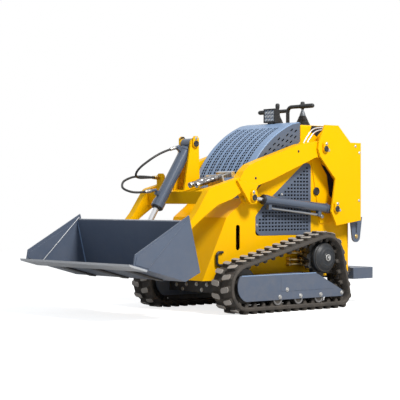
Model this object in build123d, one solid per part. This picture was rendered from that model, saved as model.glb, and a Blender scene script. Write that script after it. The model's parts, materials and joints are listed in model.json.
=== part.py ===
from build123d import *
import os
from math import atan2, cos, degrees, hypot, radians, sin, tan

os.makedirs("parts", exist_ok=True)

# Frame: X forward, Y left, Z up, in millimetres, with Z = 0 on the ground under the lugs.

# Fits
PIN_GAP = 0.3
SEAT_GAP = 0.2
TUBE_SIDES = 12
SIDE_GAP = 6

# Widths, measured from the centre plane
BODY_HALF = 256
SHEET = 6
HOOD_INSET = 6
HOOD_HALF = BODY_HALF - HOOD_INSET
HOOD_SHEET = 4
ARM_WIDTH = 64
TOWER_INNER_PLATE = 6
TOWER_OUTER_PLATE = 12
ARM_IN = BODY_HALF + TOWER_INNER_PLATE + SIDE_GAP
ARM_OUT = ARM_IN + ARM_WIDTH
ARM_MID = ARM_IN + ARM_WIDTH / 2
TOWER_IN = ARM_OUT + SIDE_GAP
TOWER_OUT = TOWER_IN + TOWER_OUTER_PLATE
ARM_LAP = 6
FRONT_IN = ARM_IN + ARM_LAP
FRONT_OUT = ARM_OUT - ARM_LAP

# Tracks
TRACK_WIDTH = 180
TRACK_SIDE = 46
TRACK_GAUGE = 2 * (BODY_HALF + TRACK_SIDE) + TRACK_WIDTH
TRACK_PITCH = 72
BAND = 22
LUG = 20
LUG_ROOT = 44
LUG_TIP = 30
LUG_SPAN = 84
FRONT_IDLER_X = 209
FRONT_IDLER_R = 123
REAR_IDLER_X = -615
REAR_IDLER_R = 56
SPROCKET_X = -484
SPROCKET_Z = 330
SPROCKET_R = 126
TRACK_MID = TRACK_GAUGE / 2
TRACK_IN = TRACK_MID - TRACK_WIDTH / 2
TRACK_OUT = TRACK_MID + TRACK_WIDTH / 2
TREAD = BAND + LUG
FRONT_IDLER_Z = FRONT_IDLER_R + TREAD
REAR_IDLER_Z = REAR_IDLER_R + TREAD
WHEEL_WIDTH = 44
SPROCKET_WIDTH = 36
TOOTH_COUNT = 11
TOOTH_DEPTH = 22
ROLLER_R = 39
ROLLER_PITCH = 182
ROLLER_COUNT = 3
ROLLER_FRONT_X = -59
AXLE_R = 15

# Track frames and the beams that carry the body on them
FRAME_PLATE = 8
FRAME_REACH_OUT = 68
FRAME_REACH_IN = 70
FRAME_OUT = TRACK_MID + FRAME_REACH_OUT
FRAME_IN = TRACK_MID - FRAME_REACH_IN
FRAME_TOP = 236
FRAME_LOW = 78
FRAME_FRONT = 284
FRAME_REAR = -652
FRAME_SLOPE_X = -392
FRAME_NOSE = 56
FRAME_NOSE_SETBACK = 24
FRAME_CHIN = 70
FRAME_TAIL = 40
FRAME_TAIL_SETBACK = 20
FRAME_ROUND = 16
ROOF_SETBACK = 60
WHEEL_CLEAR = 4
BEAM_LENGTH = 90
BEAM_FRONT_X = 130
BEAM_REAR_X = -330
BEAM_LOW = 112
HUB_COVER_R = 90
MOTOR_R = 60
COVER_REACH = 60
COVER_OUT = TRACK_MID + COVER_REACH

# Body
BODY_LOW = 200
NOSE_LOW_X = 365
NOSE_X = 195
NOSE_Z = 590
NOSE_TAPER = 31
NOSE_HALF = BODY_HALF - NOSE_TAPER
DECK_X = 95
DECK_Z = 660
SILL_FRONT_X = -5
SILL_X = -55
SILL_Z = 755
SHOULDER_X = -455
SHOULDER_Z = 1080
BODY_REAR = -905
GRILLE_BAND = 74
GRILLE_FRONT = -52
GRILLE_REAR = -548
GRILLE_LOW = 473
GRILLE_SHEET = 4
GRILLE_CORNER = 60
GRILLE_STEP_X = 140
GRILLE_STEP_Z = 180
GRILLE_TAIL_X = 60
GRILLE_TAIL_Z = 120
GRILLE_ROUND = 24
GRILLE_MARGIN = 26
LOUVRE_LENGTH = 52
LOUVRE_HEIGHT = 12
LOUVRE_PITCH_X = 74
LOUVRE_PITCH_Z = 34
SLOT_X = 98
SLOT_LOW = 385
SLOT_TOP = 544
SLOT_WIDTH = 33
CABLE_HOLE_X = -598
CABLE_HOLE_Z = 759
CABLE_HOLE_R = 22
TIE_FRONT = 281
TIE_REAR = 224
TIE_TOP = 384
TIE_LOW = 286
TIE_BAR = 17

# Hood, console and controls
HOOD_FRONT_X = 42
HOOD_FRONT_Z = 780
HOOD_MID_X = -118
HOOD_CROWN_X = -385
HOOD_RISE = 128
HOOD_TOP = SHOULDER_Z + HOOD_RISE
HOOD_CROWN_DROP = 13
HOOD_CROWN_Z = HOOD_TOP - HOOD_CROWN_DROP
HOOD_MID_DROP = 186
HOOD_MID_Z = HOOD_TOP - HOOD_MID_DROP
HOOD_EDGE = 16
HOOD_OPEN = 40
VENT_COLUMNS = 9
VENT_ROWS = 5
VENT_WIDTH = 26
VENT_LENGTH = 44
VENT_START = 0.1
VENT_END = 0.86
SIDE_VENT_ROWS = 3
SIDE_VENT_COLUMNS = 4
SIDE_VENT_WIDTH = 18
SIDE_VENT_LENGTH = 44
SIDE_VENT_PITCH = 62
SIDE_VENT_X = -330
SIDE_VENT_Z = 1046
CONSOLE_REAR = -790
CONSOLE_RISE = 110
CONSOLE_TOP = SHOULDER_Z + CONSOLE_RISE
LAMP_X = -440
LAMP_WIDTH = 110
LAMP_HEIGHT = 93
LAMP_DEPTH = 46
LAMP_FOOT = 4
LAMP_BEZEL = 8
LAMP_RECESS = 10
FIN_COUNT = 5
FIN = 4
FIN_DEPTH = 14
BAR_X = -570
BAR_RISE = 130
BAR_Z = CONSOLE_TOP + BAR_RISE
BAR_HALF = 275
BAR_R = 14
POST_Y = 20
BAR_STEP = 24
BAR_BEND = 40
STICK_Y = 120
STICK_X = -610
STICK_RISE = 165
STICK_TOP = CONSOLE_TOP + STICK_RISE
STICK_R = 12
BOOT_R = 46
BOOT_FLANGE = 10
BOOT_HEIGHT = 62
KNOB_R = 15
KNOB_HEIGHT = 26
CONSOLE_ROUND = 14

# Loader arm pivots, seen from the side
ARM_PIVOT_X = -585
ARM_PIVOT_Z = 1033
ARM_PIVOT_R = 22
ARM_LOBE_R = 56
LIFT_PIVOT_X = -690
LIFT_PIVOT_Z = 641
LIFT_EYE_X = 47
LIFT_EYE_Z = 715
LIFT_PIN_R = 16
TILT_PIVOT_X = 283
TILT_PIVOT_Z = 1053
TILT_EYE_X = 643
TILT_EYE_Z = 500
TILT_PIN_R = 18
BUCKET_PIVOT_X = 630
BUCKET_PIVOT_Z = 345
BUCKET_PIN_R = 18
ARM_TIP_R = 34
PIN_HEAD = 12
PIN_HEAD_R = 23
RETAINER_LENGTH = 24
RETAINER_CUT = 14

# Arm ears that hold the rods of the lift cylinders
LUG_PLATE = 14
LUG_EAR_R = 42
LUG_FREE_R = 60
LUG_DOUBLER = 10
LUG_TOP_FRONT = (180, 820)
LUG_TOP_REAR = (0, 800)
LUG_CHIN = 30

# Loader arm outline in the side view, upper edge from the rear, then lower edge from the front
ARM_SHOULDER = (-382, 1060)
ARM_BACK = (-17, 948)
ARM_LAP_REAR = (66, 920)
ARM_LAP_TOP = (117, 878)
ARM_LAP_FRONT = (150, 830)
ARM_LAP_LOW = (137, 749)
ARM_BELLY = (34, 779)
ARM_BELLY_REAR = (-122, 826)
ARM_ROOT_RUN = 63
ARM_ROOT_SETBACK = 6
FRONT_TOP_REAR = (110, 848)
FRONT_KNEE_TOP = (395, 770)
FRONT_SHIN_TOP = (503, 618)
FRONT_ANKLE_TOP = (595, 520)
FRONT_ANKLE_LOW = (532, 530)
FRONT_SHIN_LOW = (432, 602)
FRONT_KNEE_LOW = (327, 669)
FRONT_LOW = (210, 705)
FRONT_LOW_REAR = (120, 755)
TOE_Z = 430
TOE_TOP = 16
TOE_LOW = 74
KNEE_ROUND = 60

# Cylinders
LIFT_BARREL_R = 29
LIFT_ROD_R = 14
LIFT_BARREL_LENGTH = 615
LIFT_ROD_LENGTH = 590
LIFT_EYE_R = 30
LIFT_EYE_WIDTH = 30
TILT_BARREL_R = 36
TILT_ROD_R = 18
TILT_BARREL_LENGTH = 475
TILT_ROD_LENGTH = 570
TILT_EYE_R = 34
TILT_EYE_WIDTH = 40
GLAND = 40
BARREL_START = 45
GLAND_STEP = 4
EYE_NECK = 1.1
NECK_SHARE = 0.7
PORT_R = 13
PORT_HEIGHT = 18
LIFT_PIPE_R = 6
LIFT_PORT_FRONT = 560
LIFT_PORT_REAR = 110
LIFT_EYE_STEP = 20
BRACKET_FREE = 4

# Cross-member, tilt bracket and couplings
CROSS_X = 347
CROSS_Z = 725
CROSS_LENGTH = 86
CROSS_HEIGHT = 80
ARM_SLOPE = 15.8
BRACKET_IN = 44
BRACKET_PLATE = 14
BRACKET_FRONT = 372
BRACKET_REAR = 240
BRACKET_FOOT = 742
COUPLER_R = 16
COUPLER_LENGTH = 165
COUPLER_X = 232
COUPLER_Z = 836
COUPLER_Y = 205
COUPLER_PITCH = 62
COUPLER_PLATE = 12
COUPLER_PLATE_HEIGHT = 80
COUPLER_PLATE_DROP = 20
COUPLER_PLATE_EDGE = 20
PIPE_R = 7
PIPE_LENGTH = 96
PIPE_BLOCK = 30
PIPE_BLOCK_HEIGHT = 34

# Tilt hoses: each runs from a fitting on the tilt barrel, in a loop ahead of it, to the cross-member
HOSE_R = 6
HOSE_SIDES = 8
FERRULE_R = 9
UPPER_PORT = 70
LOWER_PORT = 400
UPPER_FERRULE = 79
LOWER_FERRULE = 92
UPPER_BOSS = 66
LOWER_BOSS = 56
UPPER_ROUTE = [
    (431, -6, 1015),
    (486, -8, 999),
    (572, -12, 958),
    (656, -55, 886),
    (620, -120, 835),
    (492, -138, 840),
    (438, -160, 842),
]
LOWER_ROUTE = [
    (632, -6, 750),
    (708, -3, 740),
    (760, -66, 766),
    (710, -137, 800),
    (664, -166, 824),
    (562, -176, 853),
    (434, -182, 843),
]
HOSE_SHARE = 0.45
HOSE_END_GAP = 3
BULKHEAD_X = 372
BULKHEAD = 10
BULKHEAD_TOP = 906
BULKHEAD_LOW = 735
BULKHEAD_NEAR = -112
BULKHEAD_FAR = -206

# Bucket, in its own frame: U forward along the floor, W up, from the bucket pivot
BUCKET_CURL = 15
BUCKET_HALF = 540
BUCKET_SHEET = 8
FLOOR_W = -150
HEEL_U = 100
FLOOR_FRONT_U = 497
CHEEK_U = 502
CHEEK_W = -86
TOP_U = 175
TOP_W = 228
REAR_U = 6
REAR_W = -73
EDGE_BACK_U = 400
EDGE_TIP_U = 535
EDGE = 12
EDGE_HALF = 548
ATTACH_INSET = 14
ATTACH_PLATE = 12
ATTACH_HALF = 380
EAR = 10
EAR_GAP = 4
EDGE_BEVEL = 8
LIP_DROP = 30
ATTACH_LOW = 12
ATTACH_DROP = 60
ARM_EAR_LOW = 14
ARM_EAR_TOP = 130
TILT_EAR_TOP = 280
WEAR_STRIP = 8
WEAR_STRIP_WIDTH = 60
WEAR_STRIP_START = 120
WEAR_STRIP_SPACING = 330

# Towers
TOWER_REAR = -930
TOWER_STEP_X = -830
TOWER_STEP_Z = 1080
TOWER_TOP_X = -712
TOWER_LOW = 545
TOWER_CHIN = 18
TOWER_FOOT_DROP = 14
TOWER_FOOT_X = 5
TOWER_EAR_X = 44
TOWER_EAR_Z = 16
TOWER_WAIST_X = 24
TOWER_WAIST_Z = 84
TOWER_HOLLOW_X = 5
TOWER_HOLLOW_Z = 197
TOWER_NECK_X = 43
TOWER_NECK_Z = 50
TOWER_CHEEK_X = 61
TOWER_BROW_X = 52
TOWER_BROW_Z = 48
TOWER_CROWN_X = 2
TOWER_ROOT = 60
TOWER_BACK_DROP = 20
TOWER_BACK_RISE = 40

# Operator platform and arm prop
PLATFORM_INSET = 6
PLATFORM_HALF = BODY_HALF - PLATFORM_INSET
PLATFORM_FRONT = -945
PLATFORM_REAR = -1186
PLATFORM_TOP = 240
PLATFORM_DEPTH = 75
PLATFORM_SHEET = 6
PLATFORM_ROUND = 45
HINGE_X = -938
HINGE_Z = 228
HINGE_R = 10
HINGE_LUG_R = 18
HINGE_LUG_IN = 24
HINGE_LUG = 12
HINGE_ARM_IN = 60
HINGE_ARM = 30
TRAY_SETBACK = 20
TREAD_SLOTS = 5
TREAD_SLOT_LENGTH = 70
TREAD_SLOT_WIDTH = 22
TREAD_SLOT_PITCH = 84
PROP_LOW = 455
PROP_X = -928
PROP_TOP_HALF = 58
PROP_END_R = 38
PROP_PLATE = 10

# Engine, as one plain block
ENGINE_LENGTH = 420
ENGINE_WIDTH = 340
ENGINE_HEIGHT = 400
ENGINE_X = -520


def side_shape(points, rounding=0):
    """A flat outline in the side view, from X and Z, with its corners rounded."""
    shape = Polygon(*points, align=None)
    if rounding:
        shape = fillet(shape.vertices(), rounding)
    return Plane.XZ * shape


def circle_at(x, z, radius):
    """A circle in the side view."""
    return Plane.XZ * Pos(x, z) * Circle(radius)


def slab(shape, y_from, y_to):
    """A side-view outline made solid between two distances from the centre plane."""
    return extrude(Pos(0, y_from, 0) * shape, amount=y_to - y_from, dir=(0, 1, 0))


def disc(x, z, radius, y_from, y_to):
    """A cylinder along Y."""
    return slab(circle_at(x, z, radius), y_from, y_to)


def mirrored(part):
    """The same piece on the right-hand side."""
    return mirror(part, about=Plane.XZ)


def pair(part):
    """A piece and its twin on the right-hand side, as separate solids."""
    return Compound([*part.solids(), *mirrored(part).solids()])


def loop_shape(grow):
    """The closed path of the track round its three wheels, in the side view."""
    front = Pos(FRONT_IDLER_X, FRONT_IDLER_Z) * Circle(FRONT_IDLER_R + grow)
    rear = Pos(REAR_IDLER_X, REAR_IDLER_Z) * Circle(REAR_IDLER_R + grow)
    top = Pos(SPROCKET_X, SPROCKET_Z) * Circle(SPROCKET_R + grow)
    return make_hull([*front.edges(), *rear.edges(), *top.edges()])


def lug_row(phase):
    """Side view of one row of lugs, evenly spaced round the belt."""
    belt = loop_shape(BAND).face().outer_wire()
    count = round(belt.length / TRACK_PITCH)
    middle = loop_shape(BAND).face().center()
    lugs = Sketch()
    for step in range(count):
        share = ((step + phase) / count) % 1
        place = belt.position_at(share)
        along = belt.tangent_at(share)
        turn = degrees(atan2(along.Y, along.X))
        out = Vector(along.Y, -along.X)
        side = 1 if out.dot(place - middle) > 0 else -1
        root = LUG_ROOT / 2
        tip = LUG_TIP / 2
        sunk = side * BAND / 3
        top = -side * LUG
        lug = Polygon((-root, sunk), (root, sunk), (root, 0), (tip, top), (-tip, top), (-root, 0), align=None)
        lugs += Pos(place.X, place.Y) * Rot(0, 0, turn) * lug
    return Plane.XZ * lugs


def track():
    """Left rubber track: a belt with two staggered rows of lugs."""
    belt = Plane.XZ * (loop_shape(BAND) - loop_shape(0))
    solid = slab(belt, TRACK_IN, TRACK_OUT)
    solid += slab(lug_row(0), TRACK_IN, TRACK_IN + LUG_SPAN)
    solid += slab(lug_row(0.5), TRACK_OUT - LUG_SPAN, TRACK_OUT)
    return solid


def wheel(x, z, radius):
    """A wheel in the middle of the left track, on a square axle between the frame plates."""
    rim = disc(x, z, radius - SEAT_GAP, TRACK_MID - WHEEL_WIDTH / 2, TRACK_MID + WHEEL_WIDTH / 2)
    length = FRAME_OUT - FRAME_IN - 2 * FRAME_PLATE
    return rim + Pos(x, (FRAME_OUT + FRAME_IN) / 2, z) * Box(2 * AXLE_R, length, 2 * AXLE_R)


def track_wheels():
    """Wheels of the left track: front idler, rear idler and the bottom rollers."""
    wheels = [
        wheel(FRONT_IDLER_X, FRONT_IDLER_Z, FRONT_IDLER_R),
        wheel(REAR_IDLER_X, REAR_IDLER_Z, REAR_IDLER_R),
    ]
    for step in range(ROLLER_COUNT):
        x = ROLLER_FRONT_X - step * ROLLER_PITCH
        rim = ROLLER_R - SEAT_GAP
        wheels.append(disc(x, TREAD + ROLLER_R, rim, FRAME_IN + FRAME_PLATE, FRAME_OUT - FRAME_PLATE))
    return Compound([part.solid() for part in wheels])


def track_frame():
    """Left track frame: two side plates under a roof plate."""
    top = (FRAME_FRONT - FRAME_NOSE_SETBACK, FRAME_TOP)
    chin = (FRAME_FRONT - FRAME_CHIN, FRAME_LOW)
    nose = ThreePointArc(top, (FRAME_FRONT, FRAME_TOP - FRAME_NOSE), chin)
    rest = Polyline(
        chin,
        (FRAME_REAR, FRAME_LOW),
        (FRAME_REAR + FRAME_TAIL_SETBACK, FRAME_LOW + FRAME_TAIL),
        (FRAME_SLOPE_X, FRAME_TOP),
        top,
    )
    face = make_face([nose, *rest.edges()])
    rear_corners = face.vertices().sort_by(Axis.X)[:3]
    plate = Plane.XZ * fillet(rear_corners, FRAME_ROUND)
    roof = side_shape(
        [
            (FRAME_FRONT - ROOF_SETBACK, FRAME_TOP),
            (FRAME_SLOPE_X + ROOF_SETBACK, FRAME_TOP),
            (FRAME_SLOPE_X + ROOF_SETBACK, FRAME_TOP - FRAME_PLATE),
            (FRAME_FRONT - ROOF_SETBACK, FRAME_TOP - FRAME_PLATE),
        ]
    )
    inner = slab(plate, FRAME_IN, FRAME_IN + FRAME_PLATE)
    outer = slab(plate, FRAME_OUT - FRAME_PLATE, FRAME_OUT)
    frame = inner + outer + slab(roof, FRAME_IN, FRAME_OUT)
    room = 2 * (FRONT_IDLER_R + WHEEL_CLEAR)
    gap = Box(room, WHEEL_WIDTH + 2 * WHEEL_CLEAR, room)
    return frame - Pos(FRONT_IDLER_X, TRACK_MID, FRONT_IDLER_Z) * gap


def sprocket_outline():
    """Side view of the toothed wheel that drives the track."""
    tip = SPROCKET_R - SEAT_GAP
    root = tip - TOOTH_DEPTH
    points = []
    for step in range(4 * TOOTH_COUNT):
        turn = radians(360 * step / (4 * TOOTH_COUNT))
        radius = tip if step % 4 < 2 else root
        points.append((SPROCKET_X + radius * cos(turn), SPROCKET_Z + radius * sin(turn)))
    return side_shape(points)


def sprocket():
    """Left drive sprocket with its hub cover."""
    toothed = slab(sprocket_outline(), TRACK_MID - SPROCKET_WIDTH / 2, TRACK_MID + SPROCKET_WIDTH / 2)
    cover = disc(SPROCKET_X, SPROCKET_Z, HUB_COVER_R, TRACK_MID, COVER_OUT)
    return toothed + cover


def drive_motor():
    """Left travel motor, bolted to the body side."""
    return disc(SPROCKET_X, SPROCKET_Z, MOTOR_R, BODY_HALF, TRACK_MID - SPROCKET_WIDTH / 2)


def cross_beams():
    """Two beams under the belly that join the track frames."""
    beams = []
    for x in (BEAM_FRONT_X, BEAM_REAR_X):
        z = (BEAM_LOW + BODY_LOW) / 2
        beams.append(Pos(x, 0, z) * Box(BEAM_LENGTH, 2 * FRAME_IN, BODY_LOW - BEAM_LOW))
    return Compound([beam.solid() for beam in beams])


def body_outline():
    """Corners of the body seen from the side."""
    return [
        (NOSE_LOW_X, BODY_LOW),
        (NOSE_X, NOSE_Z),
        (DECK_X, DECK_Z),
        (SILL_FRONT_X, SILL_Z),
        (SILL_X, SILL_Z),
        (SHOULDER_X, SHOULDER_Z),
        (BODY_REAR, SHOULDER_Z),
        (BODY_REAR, BODY_LOW),
    ]


def body_block(inset):
    """The body as a full block, drawn in by an inset from every outer face."""
    profile = Plane.XZ * offset(Polygon(*body_outline(), align=None), -inset, kind=Kind.INTERSECTION)
    half = BODY_HALF - inset
    front = NOSE_HALF - inset
    plan = Polygon(
        (BODY_REAR, -half),
        (NOSE_X, -half),
        (NOSE_LOW_X, -front),
        (NOSE_LOW_X, front),
        (NOSE_X, half),
        (BODY_REAR, half),
        align=None,
    )
    return slab(profile, -BODY_HALF, BODY_HALF) & extrude(plan, SHOULDER_Z)


def grille_shape(inset):
    """The side window of the body, with one slanted edge along the shoulder."""
    rise = (SHOULDER_Z - SILL_Z) / (SILL_X - SHOULDER_X)
    drop = GRILLE_BAND * hypot(1, rise)
    top = SILL_Z - drop + (SILL_X - GRILLE_REAR) * rise
    front_top = SILL_Z - drop + (SILL_X - GRILLE_FRONT) * rise
    points = [
        (GRILLE_FRONT, GRILLE_LOW),
        (GRILLE_FRONT, front_top - GRILLE_CORNER),
        (GRILLE_FRONT - GRILLE_CORNER, front_top),
        (GRILLE_REAR + GRILLE_STEP_X, top - GRILLE_STEP_Z),
        (GRILLE_REAR + GRILLE_TAIL_X, top - GRILLE_TAIL_Z),
        (GRILLE_REAR, top - GRILLE_TAIL_Z),
        (GRILLE_REAR, GRILLE_LOW),
    ]
    shape = fillet(Polygon(*points, align=None).vertices(), GRILLE_ROUND)
    return Plane.XZ * (offset(shape, -inset) if inset else shape)


def main_body():
    """The hollow body: nose, belly, sides and rear in sheet steel."""
    body = body_block(0) - body_block(SHEET)
    slot_z = (SLOT_LOW + SLOT_TOP) / 2
    slot = Plane.XZ * Pos(SLOT_X, slot_z) * SlotOverall(SLOT_TOP - SLOT_LOW, SLOT_WIDTH, rotation=90)
    inside = BODY_HALF - 2 * SHEET
    for opening in (grille_shape(0), slot):
        cut = slab(opening, inside, BODY_HALF)
        body -= cut
        body -= mirrored(cut)
    return body - disc(CABLE_HOLE_X, CABLE_HOLE_Z, CABLE_HOLE_R, inside, BODY_HALF)


def side_grille():
    """Left side grille, set in the window of the body, with rows of louvre slots."""
    panel = grille_shape(SEAT_GAP)
    room = grille_shape(GRILLE_MARGIN)
    box = room.bounding_box()
    columns = int(box.size.X // LOUVRE_PITCH_X) + 1
    rows = int(box.size.Z // LOUVRE_PITCH_Z) + 1
    slots = []
    for row in range(rows):
        z = GRILLE_LOW + GRILLE_MARGIN + (row + 0.5) * LOUVRE_PITCH_Z
        for column in range(columns):
            x = GRILLE_FRONT - GRILLE_MARGIN - (column + 0.5) * LOUVRE_PITCH_X
            louvre = Plane.XZ * Pos(x, z) * Rectangle(LOUVRE_LENGTH, LOUVRE_HEIGHT)
            corners = [tuple(vertex) for vertex in louvre.vertices()]
            if all(room.face().is_inside(corner) for corner in corners):
                slots.append(louvre)
    return slab(panel - slots, BODY_HALF - GRILLE_SHEET, BODY_HALF)


def tie_down():
    """Left tie-down: a U-shaped bar on the side of the nose, open to the rear."""
    points = [
        (TIE_REAR, TIE_TOP),
        (TIE_FRONT, TIE_TOP),
        (TIE_FRONT, TIE_LOW),
        (TIE_REAR, TIE_LOW),
        (TIE_REAR, TIE_LOW + TIE_BAR),
        (TIE_FRONT - TIE_BAR, TIE_LOW + TIE_BAR),
        (TIE_FRONT - TIE_BAR, TIE_TOP - TIE_BAR),
        (TIE_REAR, TIE_TOP - TIE_BAR),
    ]
    return slab(side_shape(points), NOSE_HALF, BODY_HALF + TIE_BAR / 2) - body_block(0)


def hood_curve():
    """The curved front of the hood in the side view."""
    return ThreePointArc(
        (HOOD_FRONT_X, HOOD_FRONT_Z), (HOOD_MID_X, HOOD_MID_Z), (HOOD_CROWN_X, HOOD_CROWN_Z)
    )


def hood_face(inset):
    """Side view of the hood: a curved front, a flat crown and a slanted sill."""
    front_z = DECK_Z + (DECK_X - HOOD_FRONT_X) * (SILL_Z - DECK_Z) / (DECK_X - SILL_FRONT_X)
    sill = Polyline(
        (HOOD_CROWN_X, HOOD_CROWN_Z),
        (SHOULDER_X, HOOD_TOP),
        (SHOULDER_X, SHOULDER_Z),
        (SILL_X, SILL_Z),
        (SILL_FRONT_X, SILL_Z),
        (HOOD_FRONT_X, front_z),
        (HOOD_FRONT_X, HOOD_FRONT_Z),
    )
    face = make_face([hood_curve(), *sill.edges()])
    if inset:
        face = offset(face, -inset, kind=Kind.INTERSECTION)
    return face


def front_vents():
    """Cutters for the slots in the curved front of the hood, in columns along the curve."""
    curve = hood_curve()
    spacing = 2 * (HOOD_HALF - HOOD_EDGE) / (VENT_COLUMNS + 0.5)
    cutters = []
    for row in range(VENT_ROWS):
        share = VENT_START + (VENT_END - VENT_START) * (row + 0.5) / VENT_ROWS
        place = curve.position_at(share)
        along = curve.tangent_at(share)
        turn = -degrees(atan2(along.Y, along.X))
        for column in range(VENT_COLUMNS):
            y = (column - (VENT_COLUMNS - 1) / 2) * spacing
            cutter = Box(VENT_LENGTH, VENT_WIDTH, 4 * HOOD_SHEET)
            cutters.append(Pos(place.X, y, place.Y) * Rot(0, turn, 0) * cutter)
    return cutters


def side_vents():
    """Cutters for the slanted slots in the two sides of the hood."""
    slope = degrees(atan2(SHOULDER_Z - SILL_Z, SILL_X - SHOULDER_X))
    cutters = []
    for row in range(SIDE_VENT_ROWS):
        for column in range(SIDE_VENT_COLUMNS):
            across = (row + 0.5 * (column % 2)) * SIDE_VENT_PITCH
            along = column * SIDE_VENT_PITCH
            slot = Box(SIDE_VENT_WIDTH, 2 * BODY_HALF, SIDE_VENT_LENGTH)
            place = Pos(SIDE_VENT_X, 0, SIDE_VENT_Z) * Rot(0, slope, 0) * Pos(along, 0, -across)
            cutters.append(place * slot)
    return cutters


def hood():
    """The sheet hood over the engine, open towards the body, with its slots."""
    outside = slab(Plane.XZ * hood_face(0), -HOOD_HALF, HOOD_HALF)
    hollow = hood_face(HOOD_SHEET)
    opened = hollow + Pos(0, -HOOD_OPEN) * hollow
    inside = slab(Plane.XZ * opened, -HOOD_HALF + HOOD_SHEET, HOOD_HALF - HOOD_SHEET)
    return outside - inside - front_vents() - side_vents()


def console():
    """The control console behind the hood."""
    length = SHOULDER_X - CONSOLE_REAR
    height = CONSOLE_TOP - SHOULDER_Z
    middle = Pos((SHOULDER_X + CONSOLE_REAR) / 2, 0, SHOULDER_Z + height / 2)
    block = middle * Box(length, 2 * BODY_HALF, height)
    block = fillet(block.edges().filter_by(Axis.X).group_by(Axis.Z)[-1], CONSOLE_ROUND)
    hollow = Box(length - 2 * SHEET, 2 * BODY_HALF - 2 * CONSOLE_ROUND, height)
    return block - Pos(0, 0, -SHEET) * middle * hollow


def work_lamp():
    """The square lamp on the crown of the hood, with a recessed face and fins behind."""
    base = HOOD_TOP + LAMP_FOOT
    foot = Pos(LAMP_X, 0, HOOD_TOP) * Box(LAMP_DEPTH / 2, LAMP_WIDTH / 2, 2 * LAMP_FOOT)
    depth = LAMP_DEPTH - FIN_DEPTH
    front = LAMP_X + LAMP_DEPTH / 2
    head = Pos(front - depth / 2, 0, base + LAMP_HEIGHT / 2) * Box(depth, LAMP_WIDTH, LAMP_HEIGHT)
    window = Box(2 * LAMP_RECESS, LAMP_WIDTH - 2 * LAMP_BEZEL, LAMP_HEIGHT - 2 * LAMP_BEZEL)
    head -= Pos(front, 0, base + LAMP_HEIGHT / 2) * window
    for step in range(FIN_COUNT):
        y = (step / (FIN_COUNT - 1) - 0.5) * (LAMP_WIDTH - FIN)
        head += Pos(LAMP_X, y, base + LAMP_HEIGHT / 2) * Box(LAMP_DEPTH, FIN, LAMP_HEIGHT - 2 * LAMP_BEZEL)
    head -= Pos(front, 0, base + LAMP_HEIGHT / 2) * window
    return foot + head - slab(Plane.XZ * hood_face(0), -HOOD_HALF, HOOD_HALF)


def handlebar():
    """The grab bar: a bent tube on the console, with a straight half to the right."""
    route = FilletPolyline(
        (BAR_X, POST_Y, CONSOLE_TOP), (BAR_X, POST_Y, BAR_Z), (BAR_X, BAR_HALF, BAR_Z), radius=BAR_BEND
    )
    section = RegularPolygon(BAR_R, TUBE_SIDES)
    bent = sweep(Plane(origin=(BAR_X, POST_Y, CONSOLE_TOP)) * section, path=route)
    return bent + slab(Plane.XZ * Pos(BAR_X, BAR_Z - BAR_STEP) * section, -BAR_HALF, POST_Y)


def joysticks():
    """Two control sticks in rubber boots, each turned from one profile."""
    top = STICK_TOP - CONSOLE_TOP
    profile = Polygon(
        (0, 0),
        (BOOT_R, 0),
        (BOOT_R, BOOT_FLANGE),
        (STICK_R, BOOT_HEIGHT),
        (STICK_R, top - KNOB_HEIGHT),
        (KNOB_R, top - KNOB_HEIGHT),
        (KNOB_R, top),
        (0, top),
        align=None,
    )
    stick = revolve(Plane.XZ * profile, Axis.Z)
    return pair(Pos(STICK_X, STICK_Y, CONSOLE_TOP) * stick)


def engine():
    """Engine and pump as one block inside the body."""
    z = BODY_LOW + SHEET + ENGINE_HEIGHT / 2
    return Pos(ENGINE_X, 0, z) * Box(ENGINE_LENGTH, ENGINE_WIDTH, ENGINE_HEIGHT)


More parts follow.
